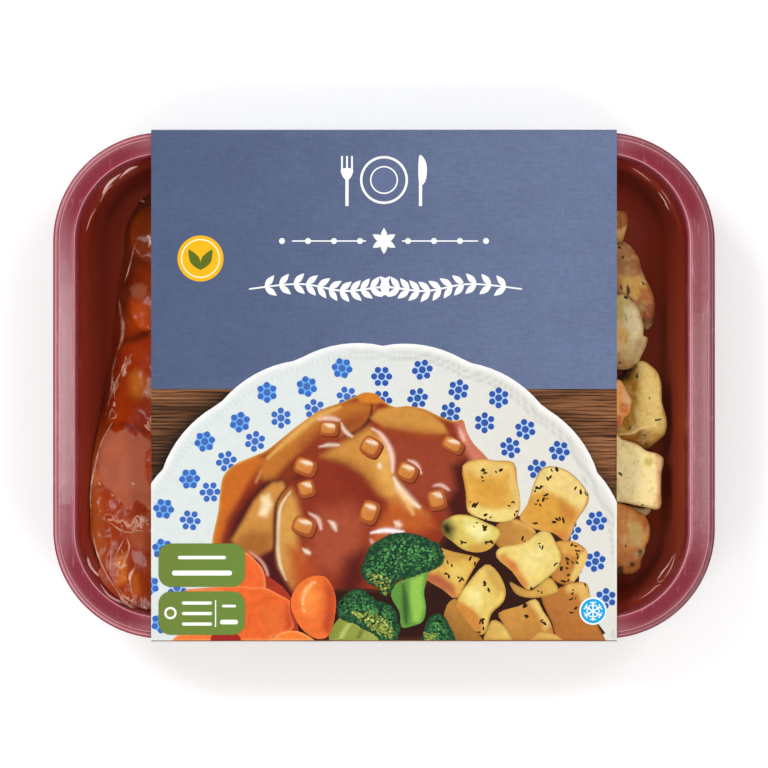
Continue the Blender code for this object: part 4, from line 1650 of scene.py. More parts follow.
def wood_ink():
    """A table top's boards, with the grain along X."""
    nodes = Nodes("wood_ink")
    grain = nodes.noise(60, 5, 0.6, stretch=(0.4, 5.0, 1.0))
    fine = nodes.noise(200, 4, 0.65, stretch=(0.25, 8.0, 1.0), distortion=0.3)
    rows = nodes.add("ShaderNodeTexWave", {"bands_direction": "Y"}, Vector=nodes.stretched((0.15, 1.0, 1.0)),
                     Scale=WOOD_ROWS, Distortion=5.0, Detail=3.0, Detail_Scale=1.5).outputs["Fac"]
    both = nodes.maths("ADD", nodes.maths("MULTIPLY", grain, 0.35), nodes.maths("MULTIPLY", fine, 0.65))
    both = nodes.maths("ADD", both, nodes.range(rows, 0.0, 0.45, -0.09, 0.01))
    wood = nodes.ramp(both, (0.35, "#2a130a"), (0.43, "#5a341d"), (0.52, "#825331"), (0.64, "#a4714a"))
    return nodes.printed(wood, nodes.paint("ink"))


def from_top(angle):
    """The flat direction at an angle in radians from the top, towards the right."""
    return Vector((math.sin(angle), math.cos(angle)))


def plate_reach(angles):
    """The distance from the plate's middle to its lobed rim, at angles in radians from the top."""
    swell = np.abs(np.sin(angles * math.pi / math.radians(LOBE_ANGLE))) ** 0.8
    return (PLATE_RADIUS + PLATE_LOBE * (swell - 0.5)) * (1 - PLATE_NARROWING * np.clip(angles, 0, None))


def plate_inset(points):
    """How far points are inside the plate's rim."""
    across, up = points[:, 0] - PLATE_CENTRE.x, points[:, 1] - PLATE_CENTRE.y
    return plate_reach(np.arctan2(across, up)) - np.hypot(across, up)


def plate_outline(steps=160):
    angles = np.linspace(-math.pi, math.pi, steps, endpoint=False)
    return [PLATE_CENTRE + from_top(angle) * reach for angle, reach in zip(angles, plate_reach(angles))]


def face_box(low_y, high_y):
    """The card's top between two lines across it."""
    low_x, high_x = FACE_LOW.x, FACE_HIGH.x
    return [Vector(point) for point in ((low_x, low_y), (high_x, low_y), (high_x, high_y), (low_x, high_y))]


def print_slate():
    left, right = linear("#4e5b7a"), linear("#667292")

    def paint(points, edge):
        share = (points[:, 0] - FACE_LOW.x) / (FACE_HIGH.x - FACE_LOW.x)
        return [blend(left, right, smooth(0.0, 1.0, value)) for value in share]
    slate = Print("print_slate", slate_ink())
    slate.add(face_box(WOOD_FROM, FACE_HIGH.y), 0, paint, cell=6.0)
    slate.finish()


def print_wood():
    """Boards with the plate's shadow on them, deeper on the left."""
    def paint(points, edge):
        gap = np.clip(-plate_inset(points), 0, None)
        shade = 1.0 - np.where(points[:, 0] < 0, 0.93 * np.exp(-gap / 6.0), 0.5 * np.exp(-gap / 3.0))
        return [[value] * 3 for value in shade]
    wood = Print("print_wood", wood_ink())
    wood.add(face_box(FACE_LOW.y, WOOD_FROM), 0, paint, cell=1.5)
    wood.finish()


def print_plate():
    plate = Print("print_plate", ink("plate_ink", 0.97, 1.02, 300))
    left, right, rim, shade = linear("#d8dfdd"), linear("#dcdad1"), linear("#f0efed"), linear("#b4b5b2")

    def paint(points, edge):
        colours = []
        for value, x in zip(plate_inset(points), points[:, 0]):
            base = blend(left, right, smooth(-50, 60, x))
            colour = blend(rim, base, smooth(0.6, 2.2, value))
            relief = max(smooth(0.7, 0.0, abs(value - at)) for at in RIM_LINES)
            colour = blend(colour, shade, 0.6 * relief * smooth(-30, 20, x))
            colours.append(blend(colour, shade, 0.55 * smooth(25.0, 60.0, value)))
        return colours
    plate.add(plate_outline(), 1, paint, cell=1.2)
    plate.finish()


def add_flower(marks, place, angle, side, outer):
    """A round ground, a heart and petals round it."""
    ground = BRIGHT_GROUND if outer and side == 0 else FLOWER_GROUNDS[side]
    marks.add(disc(place, OUTER_GROUND if outer else INNER_GROUND, 18), 2, ground)
    marks.add(disc(place, HEART_RADIUS, 14), 3, FLOWER_HEARTS[side])
    for petal in range(PETALS):
        offset = heading(math.tau * petal / PETALS + angle) * PETAL_REACH
        marks.add(disc(place + offset, PETAL_RADIUS, 12), 3, FLOWER_PETALS[side])


def print_plate_marks():
    """Fine ticks along the plate's rim and two rings of flowers."""
    marks = Print("print_plate_marks", ink("mark_ink", 0.9, 1.1, 700))
    for step in range(TICKS):
        way = from_top(math.radians(TICKS_FROM - step * TICK_ANGLE))
        path = [PLATE_CENTRE + way * (PLATE_RADIUS - inset) for inset in TICK_INSETS]
        marks.add(stroke(path, [0.05, 0.22, 0.05]), 2, "#c9ccc8")
    for step in FLOWER_STEPS:
        side = 0 if step < 0 else 1
        first, turn = FLOWER_TURNS[side]
        angle = math.radians(first + step * turn)
        lean, curve = FLOWER_BENDS[side]
        degrees = abs(math.degrees(angle))
        for radius, outer in zip(FLOWER_RINGS[step % 2], (True, False)):
            reach = length_mm(radius) * (1 + lean * degrees + curve * degrees ** 2)
            add_flower(marks, PLATE_CENTRE + from_top(angle) * reach, angle, side, outer)
    marks.finish()


GRAVY_POOL = (
    (212, 545), (218, 513), (220, 494), (223.5, 476), (235, 464.5), (254, 456), (267, 450), (283.6, 437),
    (300, 424), (320.6, 410), (341, 402.5), (356, 396), (365, 392.5), (376, 394), (383, 400.5),
    (394.5, 407), (407.5, 406), (424, 409), (439, 416), (454, 421), (463, 420), (467, 432), (474, 444),
    (488, 459), (500, 480), (470, 560), (430, 600), (352, 612), (336, 620), (260, 610), (235, 575),
    (222, 555),
)
CREAM = "#f8e6cf"
PINK = "#f4cdbf"
GOLD = "#dba23a"


def gravy_and_pork():
    """Sliced pork under gravy."""
    left_slice = (
        (272.5, 483), (262, 492), (254, 501.5), (245, 518), (232, 540), (240, 552), (260, 562), (272, 556),
        (273.5, 540), (274, 518), (280, 501), (286, 488), (282, 482),
    )
    back_slice = (
        (262, 462), (275, 445), (300, 425), (322, 411), (345, 403), (360, 402), (375, 407), (371, 416),
        (366, 425), (352, 434), (338, 436), (318, 434), (306, 447), (290, 462), (276, 478), (264, 480),
        (258, 470),
    )
    right_slice = (
        (371, 418), (378, 410), (396, 406), (413, 407), (430, 413), (443, 424), (448, 433), (439, 435),
        (426, 435), (402, 431), (384, 428),
    )
    front_top = (
        (322, 456), (337, 446), (352, 438), (369, 427.5), (378, 433), (386, 443), (392, 457), (392, 472),
        (397, 485), (408, 497), (419, 506), (428, 516), (418, 524), (400, 520), (388, 500), (375, 492),
        (362, 475), (345, 465),
    )
    front_left = (
        (291, 490), (283, 503), (278, 518), (277, 542), (277, 550), (280, 568), (286, 580), (292, 588),
        (300, 580), (305, 560), (298, 545), (296, 530), (300, 515), (296, 500),
    )
    sauce_middle = (
        (322, 460), (345, 468), (362, 478), (372, 495), (382, 510), (372, 530), (366, 548), (355, 565),
        (330, 578), (300, 575), (296, 550), (300, 530), (290, 512), (300, 495), (312, 475),
    )
    return painted(
        "#8a2e14",
        area(((208, 548), (216, 513), (218, 490), (222, 474), (236, 462), (256, 454), (264, 460),
              (250, 480), (238, 500), (226, 520), (219, 548)), "#c4661c", 1.4),
        border(GOLD, 1.1, 0.75),
        area(((224, 548), (232, 522), (245, 500), (262, 482), (280, 468), (298, 458), (304, 478),
              (285, 484), (272, 486), (256, 502), (246, 519), (238, 548)), "#4a0e08", 2.0),
        area(back_slice, "#b96c24", 1.4),
        line(((268, 458), (290, 438), (315, 418), (340, 407)), "#e2ac5a", 2.6, 0.8),
        area(((300, 446), (320, 428), (350, 415), (368, 412), (365, 424), (350, 434), (322, 440)),
             "#8e3c16", 3.0, 0.85),
        area(((276, 478), (290, 462), (306, 446), (318, 450), (304, 470), (288, 484)), "#8a3412", 2.4, 0.8),
        area(((356, 396), (365, 392.5), (376, 394), (384, 402), (372, 404), (360, 402)), "#d07c20", 0.8),
        line(((372, 404), (370, 418), (360, 430), (345, 436)), "#50140a", 1.6),
        area(((392, 436), (420, 437), (450, 440), (466, 450), (466, 500), (450, 520), (430, 505),
              (410, 490), (396, 470)), "#943c22", 2.0),
        area(right_slice, "#c98a3c", 0.9),
        area(((376, 424), (402, 428), (430, 432), (447, 434), (442, 442), (402, 438), (380, 432)),
             "#983e18", 2.4, 0.9),
        area(((452, 466), (466, 458), (472, 520), (458, 530), (444, 505), (455, 488)), "#450c07", 2.4),
        area(((455, 422), (464, 421), (474, 444), (490, 460), (474, 466), (463, 445)), "#c9745c", 1.6),
        area(front_top, "#c8873a", 1.8),
        area(((380, 440), (390, 452), (392, 474), (402, 492), (390, 494), (380, 476), (374, 456)),
             "#e2ac56", 2.6, 0.8),
        area(((392, 500), (410, 505), (428, 514), (434, 526), (420, 532), (400, 534), (385, 542),
              (370, 548), (370, 530), (385, 515)), "#b8561e", 3.2),
        area(sauce_middle, "#892c16", 2.2),
        area(((320, 510), (350, 505), (365, 520), (362, 550), (340, 575), (310, 568), (312, 535)),
             "#a84e30", 4.5, 0.8),
        area(((330, 458), (352, 462), (372, 480), (384, 505), (372, 512), (352, 490)), "#7c2410", 3.0, 0.7),
        area(front_left, "#cf9444", 2.0),
        area(((288, 546), (304, 548), (316, 572), (300, 594), (290, 578)), "#b0461a", 3.2, 0.9),
        line(((290, 492), (281, 506), (278.5, 520), (277.5, 545), (280, 565), (286, 580)), "#f4e0b4", 1.4,
             0.9),
        area(left_slice, "#c8883c", 1.0),
        area(((230, 545), (250, 530), (273, 532), (273, 558), (255, 566), (240, 556)), "#9c5820", 3.0,
             0.85),
        area(((262, 497), (269, 494), (272, 505), (266, 517), (259, 515), (261, 506)), "#f7dfb0", 1.2, 0.9),
        line(((288, 485), (277, 502), (275, 520), (274.5, 545), (272, 562)), "#5c1c0c", 1.5),
        area(((252, 560), (274, 548), (277, 566), (292, 592), (300, 602), (284, 606), (268, 588)),
             "#48090e", 1.2),
        area(((346, 558), (366, 548), (365, 580), (354, 604), (334, 606), (340, 578)), "#4c0c07", 3.6, 0.9),
        line(((249, 551), (261, 561), (267, 572), (268, 582)), "#dd9a8c", 1.0),
        line(((318, 419.5), (328, 418), (339, 420)), PINK, 1.6, 0.8),
        line(((341, 423), (345, 431), (352, 436.5)), CREAM, 1.2, 0.8),
        line(((372, 428.5), (380, 433.5), (387, 443), (392, 456), (392.5, 472)), PINK, 1.7, 0.9),
        line(((319, 447), (328, 445), (339, 445)), CREAM, 1.2, 0.7),
        line(((394, 478), (400, 489), (410, 500), (419, 507)), CREAM, 2.4, 0.85),
        line(((400, 490), (409, 505), (413, 514)), "#f0c070", 2.4, 0.7),
        line(((408, 460), (416, 464), (421, 473)), PINK, 1.3, 0.8),
        line(((433, 486), (441, 485), (449, 490)), PINK, 1.2, 0.8),
        line(((309, 513), (318, 519), (321, 529)), PINK, 1.4, 0.8),
        line(((329, 521), (333, 524), (336, 530)), CREAM, 1.6, 0.8),
        line(((303, 549), (309, 553)), CREAM, 1.5, 0.9),
        line(((371, 533), (385, 530.5), (403, 532)), "#ffffff", 1.6, 0.9),
        line(((459, 428), (464, 440)), "#f6c4b4", 1.6, 0.7),
        line(((379, 463), (380, 467)), CREAM, 1.6, 0.8),
        line(((395, 522), (399, 525)), CREAM, 2.4, 0.8),
        line(((374, 545), (371, 540)), PINK, 1.2, 0.6),
        line(((262, 470), (256, 482)), "#e0a35c", 1.2, 0.5),
    )


# A cube's cut corners, as shares of its width and height
CUBE_CORNERS = ((-0.5, -0.3), (-0.3, -0.5), (0.3, -0.5), (0.5, -0.3),
                (0.5, 0.3), (0.3, 0.5), (-0.3, 0.5), (-0.5, 0.3))
# Cubes in the gravy: centre, width, height and turn in degrees
GRAVY_CUBES = (
    (329, 429, 19, 14, -4), (305.5, 467, 22, 17, -20), (306.5, 489, 17, 17, 14), (371, 447, 20, 19, -30),
    (407.5, 472, 20, 18, -24), (437, 500, 18, 20, 12), (369.5, 512.5, 18, 23, -20),
    (304, 526.5, 23, 18, -22), (453, 445, 22, 14, -28),
)

# Potato pieces, from the back to the front: outline, body colour, and soft areas over it
PRINT_POTATOES = (
    (((447, 605), (458, 600), (471, 625), (481, 637), (481, 645), (446, 645), (443, 625)), "#8a5620",
     (slope("#c9913c", 60, 0.7),)),
    (((497, 524), (517, 519), (528, 525), (536, 533), (523, 545), (505, 548), (496, 544)), "#cf9543",
     (slope("#8a4a1c", 200, 0.5), line(((512, 521), (528, 526), (535, 532)), "#e4b864", 1.6, 0.6))),
    (((556, 542), (574, 541.5), (587, 551), (585.6, 562.5), (574, 582), (562.5, 584.5), (550.8, 575.5),
      (561, 556)), "#bd7c33",
     (area(((580.5, 553), (588, 550), (587, 563), (575, 583), (570, 579), (575, 566)), "#e6c069", 0.6),
      area(((556, 542), (574, 541), (583, 549), (576, 556), (562, 553)), "#dba24a", 0.9))),
    (((550.8, 592), (568.9, 584), (585.6, 582.5), (590, 594.6), (594, 614), (599, 628), (604, 645),
      (562.4, 645), (552, 623), (541, 597)), "#c07a34",
     (area(((566, 584), (586, 582), (591, 598), (592, 612), (583, 606), (578, 594), (566, 592)), "#e2b660",
           1.0),
      slope("#8f4a1c", 240, 0.5))),
    (((509.6, 581.8), (522.5, 588), (533, 589.5), (548, 577.5), (556, 584), (558, 592), (545.7, 596.5),
      (530, 598), (516, 594)), "#dcb152",
     (slope("#a4662a", 190, 0.5),)),
    (((519, 606), (535.4, 599), (543, 611), (551, 624), (552, 645), (510, 645), (505, 627), (498.5, 613)),
     "#c98b3c",
     (area(((528, 601), (536, 599), (551, 624), (545, 630), (538, 614)), "#e8c772", 1.0),
      area(((499, 613), (514, 604), (524, 602), (527, 618), (520, 634), (508, 632)), "#cf9444", 1.6),
      slope("#9a5a22", 250, 0.4))),
    (((530, 645), (538, 632), (556, 634.5), (564, 645)), "#e2b45c", (slope("#b9752c", 250, 0.5),)),
    (((484, 645), (491.5, 620.5), (504.5, 625.5), (512, 638.5), (512, 645)), "#e0bb60",
     (slope("#b67c30", 200, 0.6),)),
    (((462.6, 466), (478.7, 459), (495.4, 460.5), (514, 463), (517.3, 482.5), (520, 498), (519.3, 512),
      (512, 520), (496.7, 522), (478.7, 517.5), (467.5, 511), (465.5, 491.5)), "#dba545",
     (area(((463, 466), (480, 459), (500, 461), (512, 466), (500, 476), (478, 476)), "#e6c06c", 1.6),
      area(((511, 464), (517, 482), (521, 498), (519, 513), (512, 506), (509, 480)), "#dfb865", 1.0),
      area(((467, 508), (474, 505), (492, 510), (508, 508), (518, 508), (512, 521), (496, 523), (478, 519)),
           "#ead07c", 1.2),
      area(((478, 482), (496, 480), (504, 492), (492, 502), (478, 498)), "#d29330", 3.0, 0.7),
      line(((468, 462), (486, 458), (505, 461)), "#b0702c", 1.0, 0.7))),
    (((543, 467.5), (561, 468), (575.5, 477), (588.5, 494), (586, 507), (577, 520), (569, 539.5),
      (563.5, 540.3), (553, 533), (535, 529), (519.5, 518.5), (527.5, 504), (534, 483.5)), "#e8cb7c",
     (area(((529, 495), (543, 490), (562, 497), (578, 511), (569, 540), (553, 534), (535, 530), (518, 519)),
           "#d69a3c", 1.6),
      area(((560, 502), (574, 508), (578, 514), (574, 524), (562, 518)), "#c4782c", 2.0, 0.8),
      line(((587, 495), (585, 507), (576, 521)), "#c98c38", 1.0, 0.6),
      area(((552, 530), (566, 532), (568, 540), (560, 540)), "#c8702c", 1.2, 0.8))),
    (((441, 524), (448, 518), (458, 514.5), (472, 516), (485, 522), (497, 527.5), (500.8, 534),
      (495.5, 543), (489, 549.5), (477.5, 552.5), (463, 549.5), (451, 540.5), (443, 534)), "#e2cf69",
     (slope("#c49a3c", 250, 0.6),
      area(((466, 521), (482, 526), (490, 534), (480, 540), (468, 532)), "#f3eaa2", 2.4),
      area(((470, 545), (485, 543), (496, 540), (486, 553), (468, 553)), "#c9903a", 1.4, 0.8),
      area(((438, 522), (449, 520), (455, 528), (452, 538), (442, 536)), "#16110a", 2.4),
      line(((500, 530), (498, 540), (490, 548)), "#b58434", 0.8, 0.6))),
    (((439.4, 548.5), (452.7, 551.5), (478.2, 557.5), (477, 563), (469, 577), (456.7, 598.5),
      (442.4, 589.4), (427, 580), (426, 572), (442, 564)), "#dcae4c",
     (area(((426, 572), (440, 574), (455, 586), (457, 599), (442, 590), (426, 581)), "#b5623a", 1.4),
      area(((440, 549), (455, 552), (470, 557), (455, 562), (443, 560)), "#b8843c", 1.6, 0.7),
      area(((450, 566), (466, 564), (466, 576), (456, 584), (448, 576)), "#e4c060", 1.6))),
    (((456.5, 601), (465.8, 585.6), (485, 564.5), (498, 572.5), (505.7, 589.5), (503, 602.5), (491.5, 614),
      (487.7, 628), (481, 635), (470.5, 625.5), (458, 609)), "#e3c465",
     (area(((457, 600), (471, 607), (483, 621), (482, 636), (470, 626), (457, 610)), "#cc8338", 1.0),
      area(((486, 566), (498, 572), (506, 590), (497, 594), (488, 580)), "#c79a44", 2.2, 0.9),
      area(((466, 590), (478, 586), (484, 596), (478, 608), (468, 602)), "#f0dc8c", 2.0),
      line(((503, 602), (492, 614), (488, 628)), "#8a5a22", 1.2, 0.7))),
    (((500.6, 547), (522.5, 543), (540.5, 531.2), (549.8, 532.5), (556, 543), (561.3, 556), (556, 570.5),
      (532.8, 588.5), (523.8, 587.2), (512, 571.5), (496.5, 557.3)), "#e7cc73",
     (area(((496, 557), (504, 553), (517, 566), (529, 584), (527, 589), (522, 588), (511, 573)), "#cf8a3e",
           1.2),
      area(((508, 560), (516, 562), (517, 570), (511, 568)), "#d2683a", 1.2, 0.8),
      area(((520, 552), (540, 546), (548, 556), (534, 572), (522, 566)), "#eed88a", 2.6),
      line(((541, 531), (550, 533), (557, 543), (561, 556)), "#cba04a", 0.9, 0.6),
      line(((501, 547), (522, 543), (540, 531)), "#d9aa50", 1.2, 0.7))),
)

# Herb flecks on the potato pieces
PRINT_HERBS = (
    (485, 471), (485, 479), (498, 473), (471, 504), (477, 503), (511, 503), (514, 513), (488, 517),
    (546, 497), (538, 502), (539, 486), (534, 489), (555, 520), (561, 521), (535, 525), (578, 490),
    (587, 495), (554, 470), (475, 524), (485, 529), (487, 543), (491, 540), (464, 543), (525, 541),
    (554, 562), (542, 546), (574, 546), (579, 553), (575, 560), (568, 561), (562, 566), (569, 570),
    (571, 578), (563, 581), (572, 592), (573, 601), (573, 610), (585, 584), (524, 604), (543, 623),
    (529, 618), (487, 584), (488, 592), (481, 620), (481, 630), (533, 590), (541, 593), (450, 564),
    (447, 574), (461, 580), (473, 561), (541, 501), (549, 478),
)

BROCCOLI = (
    ((364, 561), (369, 548.5), (377, 541.5), (389.5, 535), (403.7, 532.5), (418, 535), (430, 540),
     (439.5, 545.5), (443.5, 556), (441.5, 564), (433, 570), (422, 573), (412, 577), (397.5, 581),
     (393.5, 587.5), (385, 595.5), (377, 587.5), (367, 582), (361, 573)),
    ((337.5, 609), (341.5, 598.5), (350.5, 591.5), (359, 589.5), (369, 594.5), (377, 600.5), (387.5, 603.5),
     (395.5, 610), (398.5, 622), (399.5, 630), (395.5, 641), (385, 645), (375, 635), (365, 630),
     (353.5, 623), (340.5, 619)),
    ((424, 634), (428, 620), (434.5, 615), (442.5, 616), (448.5, 625), (453.7, 635.5), (453, 645),
     (423, 645)),
)
BROCCOLI_PALE = (
    ((366, 574), (380, 574), (392, 580), (386, 596), (376, 588)),
    ((352, 612), (370, 611), (392, 622), (392, 640), (372, 630)),
    ((424, 632), (436, 634), (436, 645), (424, 645)),
)
STALKS = (
    (((340, 617), (330, 645), (378, 645), (378, 632), (360, 622)), "#9ba64a",
     (slope("#6a6a20", 180, 0.6),
      line(((352, 620), (344, 632), (338, 645)), "#c3cc74", 1.4, 0.8),
      line(((366, 624), (360, 634), (356, 645)), "#586022", 1.4, 0.8))),
    (((396, 584), (411, 577), (428.5, 568), (424, 591), (426, 607), (423, 621), (412, 626), (401.5, 627),
      (399.5, 612), (391, 596)), "#5d8f3a",
     (area(((410, 580), (424, 574), (422, 592), (424, 607), (420, 622), (413, 622), (410, 600)), "#8fbe4c",
           0.9),
      line(((403, 584), (405, 600), (406, 622)), "#33551f", 2.4))),
)
# A crown's buds: how many are drawn, and their dark and bright colours
BUDS = 1400
PALE_BUDS = ("#6d7a2c", "#c9cf62")
GREEN_BUDS = ("#0f3522", "#5aa455")
PRINT_SHADOW = (
    (436, 548), (468, 512), (520, 516), (548, 530), (570, 540), (578, 560), (580, 600), (585, 645),
    (290, 645), (286, 625), (330, 590), (400, 590), (430, 580),
)
CARROT_GROUND = ((240, 560), (266, 575), (290, 596), (300, 640), (300, 645), (200, 645), (236, 630))
CARROTS = (
    (((236, 554), (245, 552), (253, 558), (262, 568), (265.5, 580), (263, 590), (240, 592)), "#e8642a",
     (border("#f69a58", 1.0, 0.7),)),
    (((190, 589), (238, 586), (253, 587.5), (265, 587.5), (277, 593.5), (289, 600), (289.5, 604),
      (291, 615), (294, 626), (288, 632), (272, 637), (268, 645), (236, 645), (236, 596), (190, 592)),
     "#e86428",
     (border("#f79a5a", 1.0, 0.6),
      area(((258, 622), (262, 606), (274, 602), (286, 606), (284, 628), (266, 636)), "#e0682c", 1.2, 0.8),
      line(((247, 636), (250, 614), (262, 600), (278, 598)), "#c9501c", 1.0, 0.6),
      area(((287, 600), (293, 612), (294, 628), (286, 630)), "#a8281c", 1.6, 0.7))),
    (((174, 645), (177.5, 635.5), (196, 634), (214, 634), (216, 645)), "#ee7430",
     (border("#f6a060", 0.8, 0.6),)),
    (((213, 634), (236, 633), (240, 645), (214, 645)), "#9c1f1c", ()),
    (((268, 645), (274, 637), (288, 631), (303, 633), (316, 645)), "#f07a30",
     (border("#f8a868", 0.9, 0.7),)),
    (((290.6, 603.5), (294.6, 589.5), (303, 580.5), (313, 576), (324.5, 576.5), (331, 584), (335.5, 596),
      (335.5, 612), (330, 634), (318, 639), (305, 632), (296, 620)), "#ea6e2c",
     (area(((324, 580), (336, 590), (336, 615), (330, 636), (322, 628), (326, 604)), "#b23a1c", 1.6, 0.8),
      area(((300, 590), (312, 584), (320, 596), (314, 616), (304, 614)), "#f89040", 2.4, 0.8),
      line(((304, 612), (303, 598), (309, 586), (317, 581)), "#ffd08c", 1.0, 0.8))),
)


def cube_outline(px, py, wide, high, turn):
    """A box in mm with cut corners, round a pixel."""
    points = []
    for x, y in CUBE_CORNERS:
        corner = length_mm(Vector((x * wide, y * high)))
        corner.rotate(Matrix.Rotation(math.radians(turn), 2))
        points.append(photo_mm(px, py) + corner)
    return points


def print_meat():
    """Pork slices in gravy, with cubes that have a shadow, dark sides and a lit top."""
    meat = Print("print_gravy_and_pork", ink("meat_ink", 0.9, 1.07, 430, detail=4))
    meat.add(curved(photo_path(GRAVY_POOL), 4), 4, gravy_and_pork(), cell=0.55)
    sides = painted("#b4602a", slope("#8a3814", 300, 0.7), border("#8a4018", 0.6, 0.4))
    for px, py, wide, high, turn in GRAVY_CUBES:
        centre = photo_mm(px, py)
        box = cube_outline(px, py, wide, high, turn)
        outline = curved(box, 2)
        facet = [centre + (point - centre) * 0.72 + Vector((-0.25, 0.35)) for point in box]
        lit = (px - wide * 0.2, py - high * 0.32), (px + wide * 0.25, py - high * 0.2)
        top = painted("#d2883c", slope("#b8682a", 300, 0.6), border("#c07a34", 0.5, 0.6),
                      line(lit, CREAM, 1.6, 0.85))
        meat.add([point + Vector((0.4, -0.5)) for point in outline], 5, "#6e2410")
        meat.add(outline, 6, sides, cell=0.6)
        meat.add(curved(facet, 2), 6.5, top, cell=0.5)
    meat.finish()


def print_roots(draw):
    """Carrots and potato pieces on their shadow, with herbs."""
    roots = Print("print_vegetables", ink("vegetable_ink", 0.86, 1.07, 430, detail=5))
    shadow = painted("#2c0d05", border("#5c2e16", 1.5, 0.5))
    roots.add(curved(photo_path(PRINT_SHADOW), 3), 5, shadow, cell=2.0)
    roots.add(curved(photo_path(CARROT_GROUND), 3), 6, painted("#a8321c"), cell=3.0)
    for outline, code, steps in CARROTS:
        roots.add(curved(photo_path(outline), 3), 7, painted(code, *steps), cell=0.9)
    browned = border("#8a4c1a", 0.9, 0.7)
    for level, (outline, code, steps) in enumerate(PRINT_POTATOES):
        roots.add(curved(photo_path(outline), 3), 7 + level * 0.4, painted(code, browned, *steps), cell=0.65)
    for px, py in PRINT_HERBS:
        for _ in range(draw.choice((2, 3, 3))):
            spot = photo_mm(px + draw.uniform(-3, 3), py + draw.uniform(-3, 3))
            size = draw.uniform(0.4, 1.0)
            roots.add(disc(spot, size, 7, draw.uniform(0.3, 0.6), draw.uniform(0, math.pi)), 13, "#2c1a0a")
    roots.finish()


def add_crown(green, draw, crown, pale, level):
    """A broccoli crown: a dark ground full of small buds, lit towards its middle, paler in one part."""
    outline = curved(photo_path(crown), 3)
    green.add(outline, 13.8 + level, painted("#123a24"), cell=3.0)
    xs, ys = [point.x for point in outline], [point.y for point in outline]
    spots = np.array([(draw.uniform(min(xs), max(xs)), draw.uniform(min(ys), max(ys))) for _ in range(BUDS)])
    spots = spots[inside(spots, outline)]
    reach = line_distance(spots, outline, closed=True)
    for (x, y), depth, is_pale in zip(spots, reach, inside(spots, photo_path(pale))):
        share = draw.random() * min(1.0, 0.35 + depth / 5)
        dark, bright = PALE_BUDS if is_pale and draw.random() < 0.75 else GREEN_BUDS
        colour = blend(linear(dark), linear(bright), share ** 1.6)
        bud = disc((x, y), draw.uniform(0.25, 0.55), 5)
        green.add(bud, 14.2 + level, lambda points, edge: [colour] * len(points))


def print_green(draw):
    green = Print("print_broccoli", ink("broccoli_ink", 0.9, 1.1, 1500))
    for outline, code, steps in STALKS:
        green.add(curved(photo_path(outline), 3), 13.4, painted(code, *steps), cell=0.8)
    for level, (crown, pale) in enumerate(zip(BROCCOLI, BROCCOLI_PALE)):
        add_crown(green, draw, crown, pale, level)
    green.finish()


def print_food():
    draw = random.Random(5)
    print_meat()
    print_roots(draw)
    print_green(draw)


# Ornaments and badges, in pixels
ORNAMENT_WHITE = "#f4f5f4"
BADGE_WHITE = "#f4f6ee"
FROST_WHITE = "#f2f8fb"
DISH_AT = (384, 180)
FORK_X = 347
FORK_NECK = ((341.2, 169), (352.8, 169), (351, 177), (347, 180), (343, 177))
KNIFE_X = 420.5
KNIFE_BLADE = ((419, 156), (425, 160), (427, 170), (425, 182), (419, 184))
STAR_AT = (384, 241)
BRANCH = ((249, 289), (300, 284), (345, 291), (385, 287), (425, 291), (470, 284), (522, 289))
BRANCH_MIDDLE = (385, 287)
BADGE_SIDES = (158.6, 245)
BADGE_ROWS = ((543.5, 586.8), (591.4, 634.8))
# The green badges' bars: the middle line's height, the left and right ends, and the bar's height
BADGE_BARS = (
    (557.5, 178, 226, 3.4), (573, 172, 232, 5.0), (603, 182, 212, 3.2), (613.5, 182, 212, 3.2),
    (624, 182, 212, 3.2), (606, 222, 236, 2.6), (622, 220, 238, 4.6),
)
RING_AT = (170.5, 613)
LEAF_BADGE_AT = (200.5, 258.5)
LEAVES_FROM = (200.5, 270)
FROST_AT = (593, 611)


def away_from(pixel, reach, angle):
    """The place at a reach in pixels and an angle from a pixel."""
    px, py = pixel
    return photo_mm(px + reach * math.cos(angle), py - reach * math.sin(angle))


def rounded_box(left, top, right, bottom, radius):
    """A box in pixels with round corners."""
    low_x, high_x, low_y, high_y = left + radius, right - radius, top + radius, bottom - radius
    points = []
    for turn, middle in enumerate(((high_x, low_y), (low_x, low_y), (low_x, high_y), (high_x, high_y))):
        points += [away_from(middle, radius, math.radians(90 * turn + 15 * step)) for step in range(7)]
    return points


def leaf(stem, length, angle, width):
    """A pointed leaf from its stem end in mm, with its length in pixels."""
    reach = length_mm(length)
    path = [stem + heading(angle) * reach * step / 6 for step in range(7)]
    widest = reach * width
    return stroke(path, [0.02, widest * 0.8, widest, widest * 0.7, 0.02])


def add_disc(marks, pixel, radius, sides, level, code):
    """A round patch, with its radius in pixels."""
    marks.add(disc(photo_mm(*pixel), length_mm(radius), sides), level, code)


def add_bar(marks, start, stop, width):
    """A straight bar between two pixels."""
    middle = (start[0] + stop[0]) / 2, (start[1] + stop[1]) / 2
    marks.add(stroke(photo_path((start, middle, stop)), [length_mm(width)] * 2), 2, ORNAMENT_WHITE)


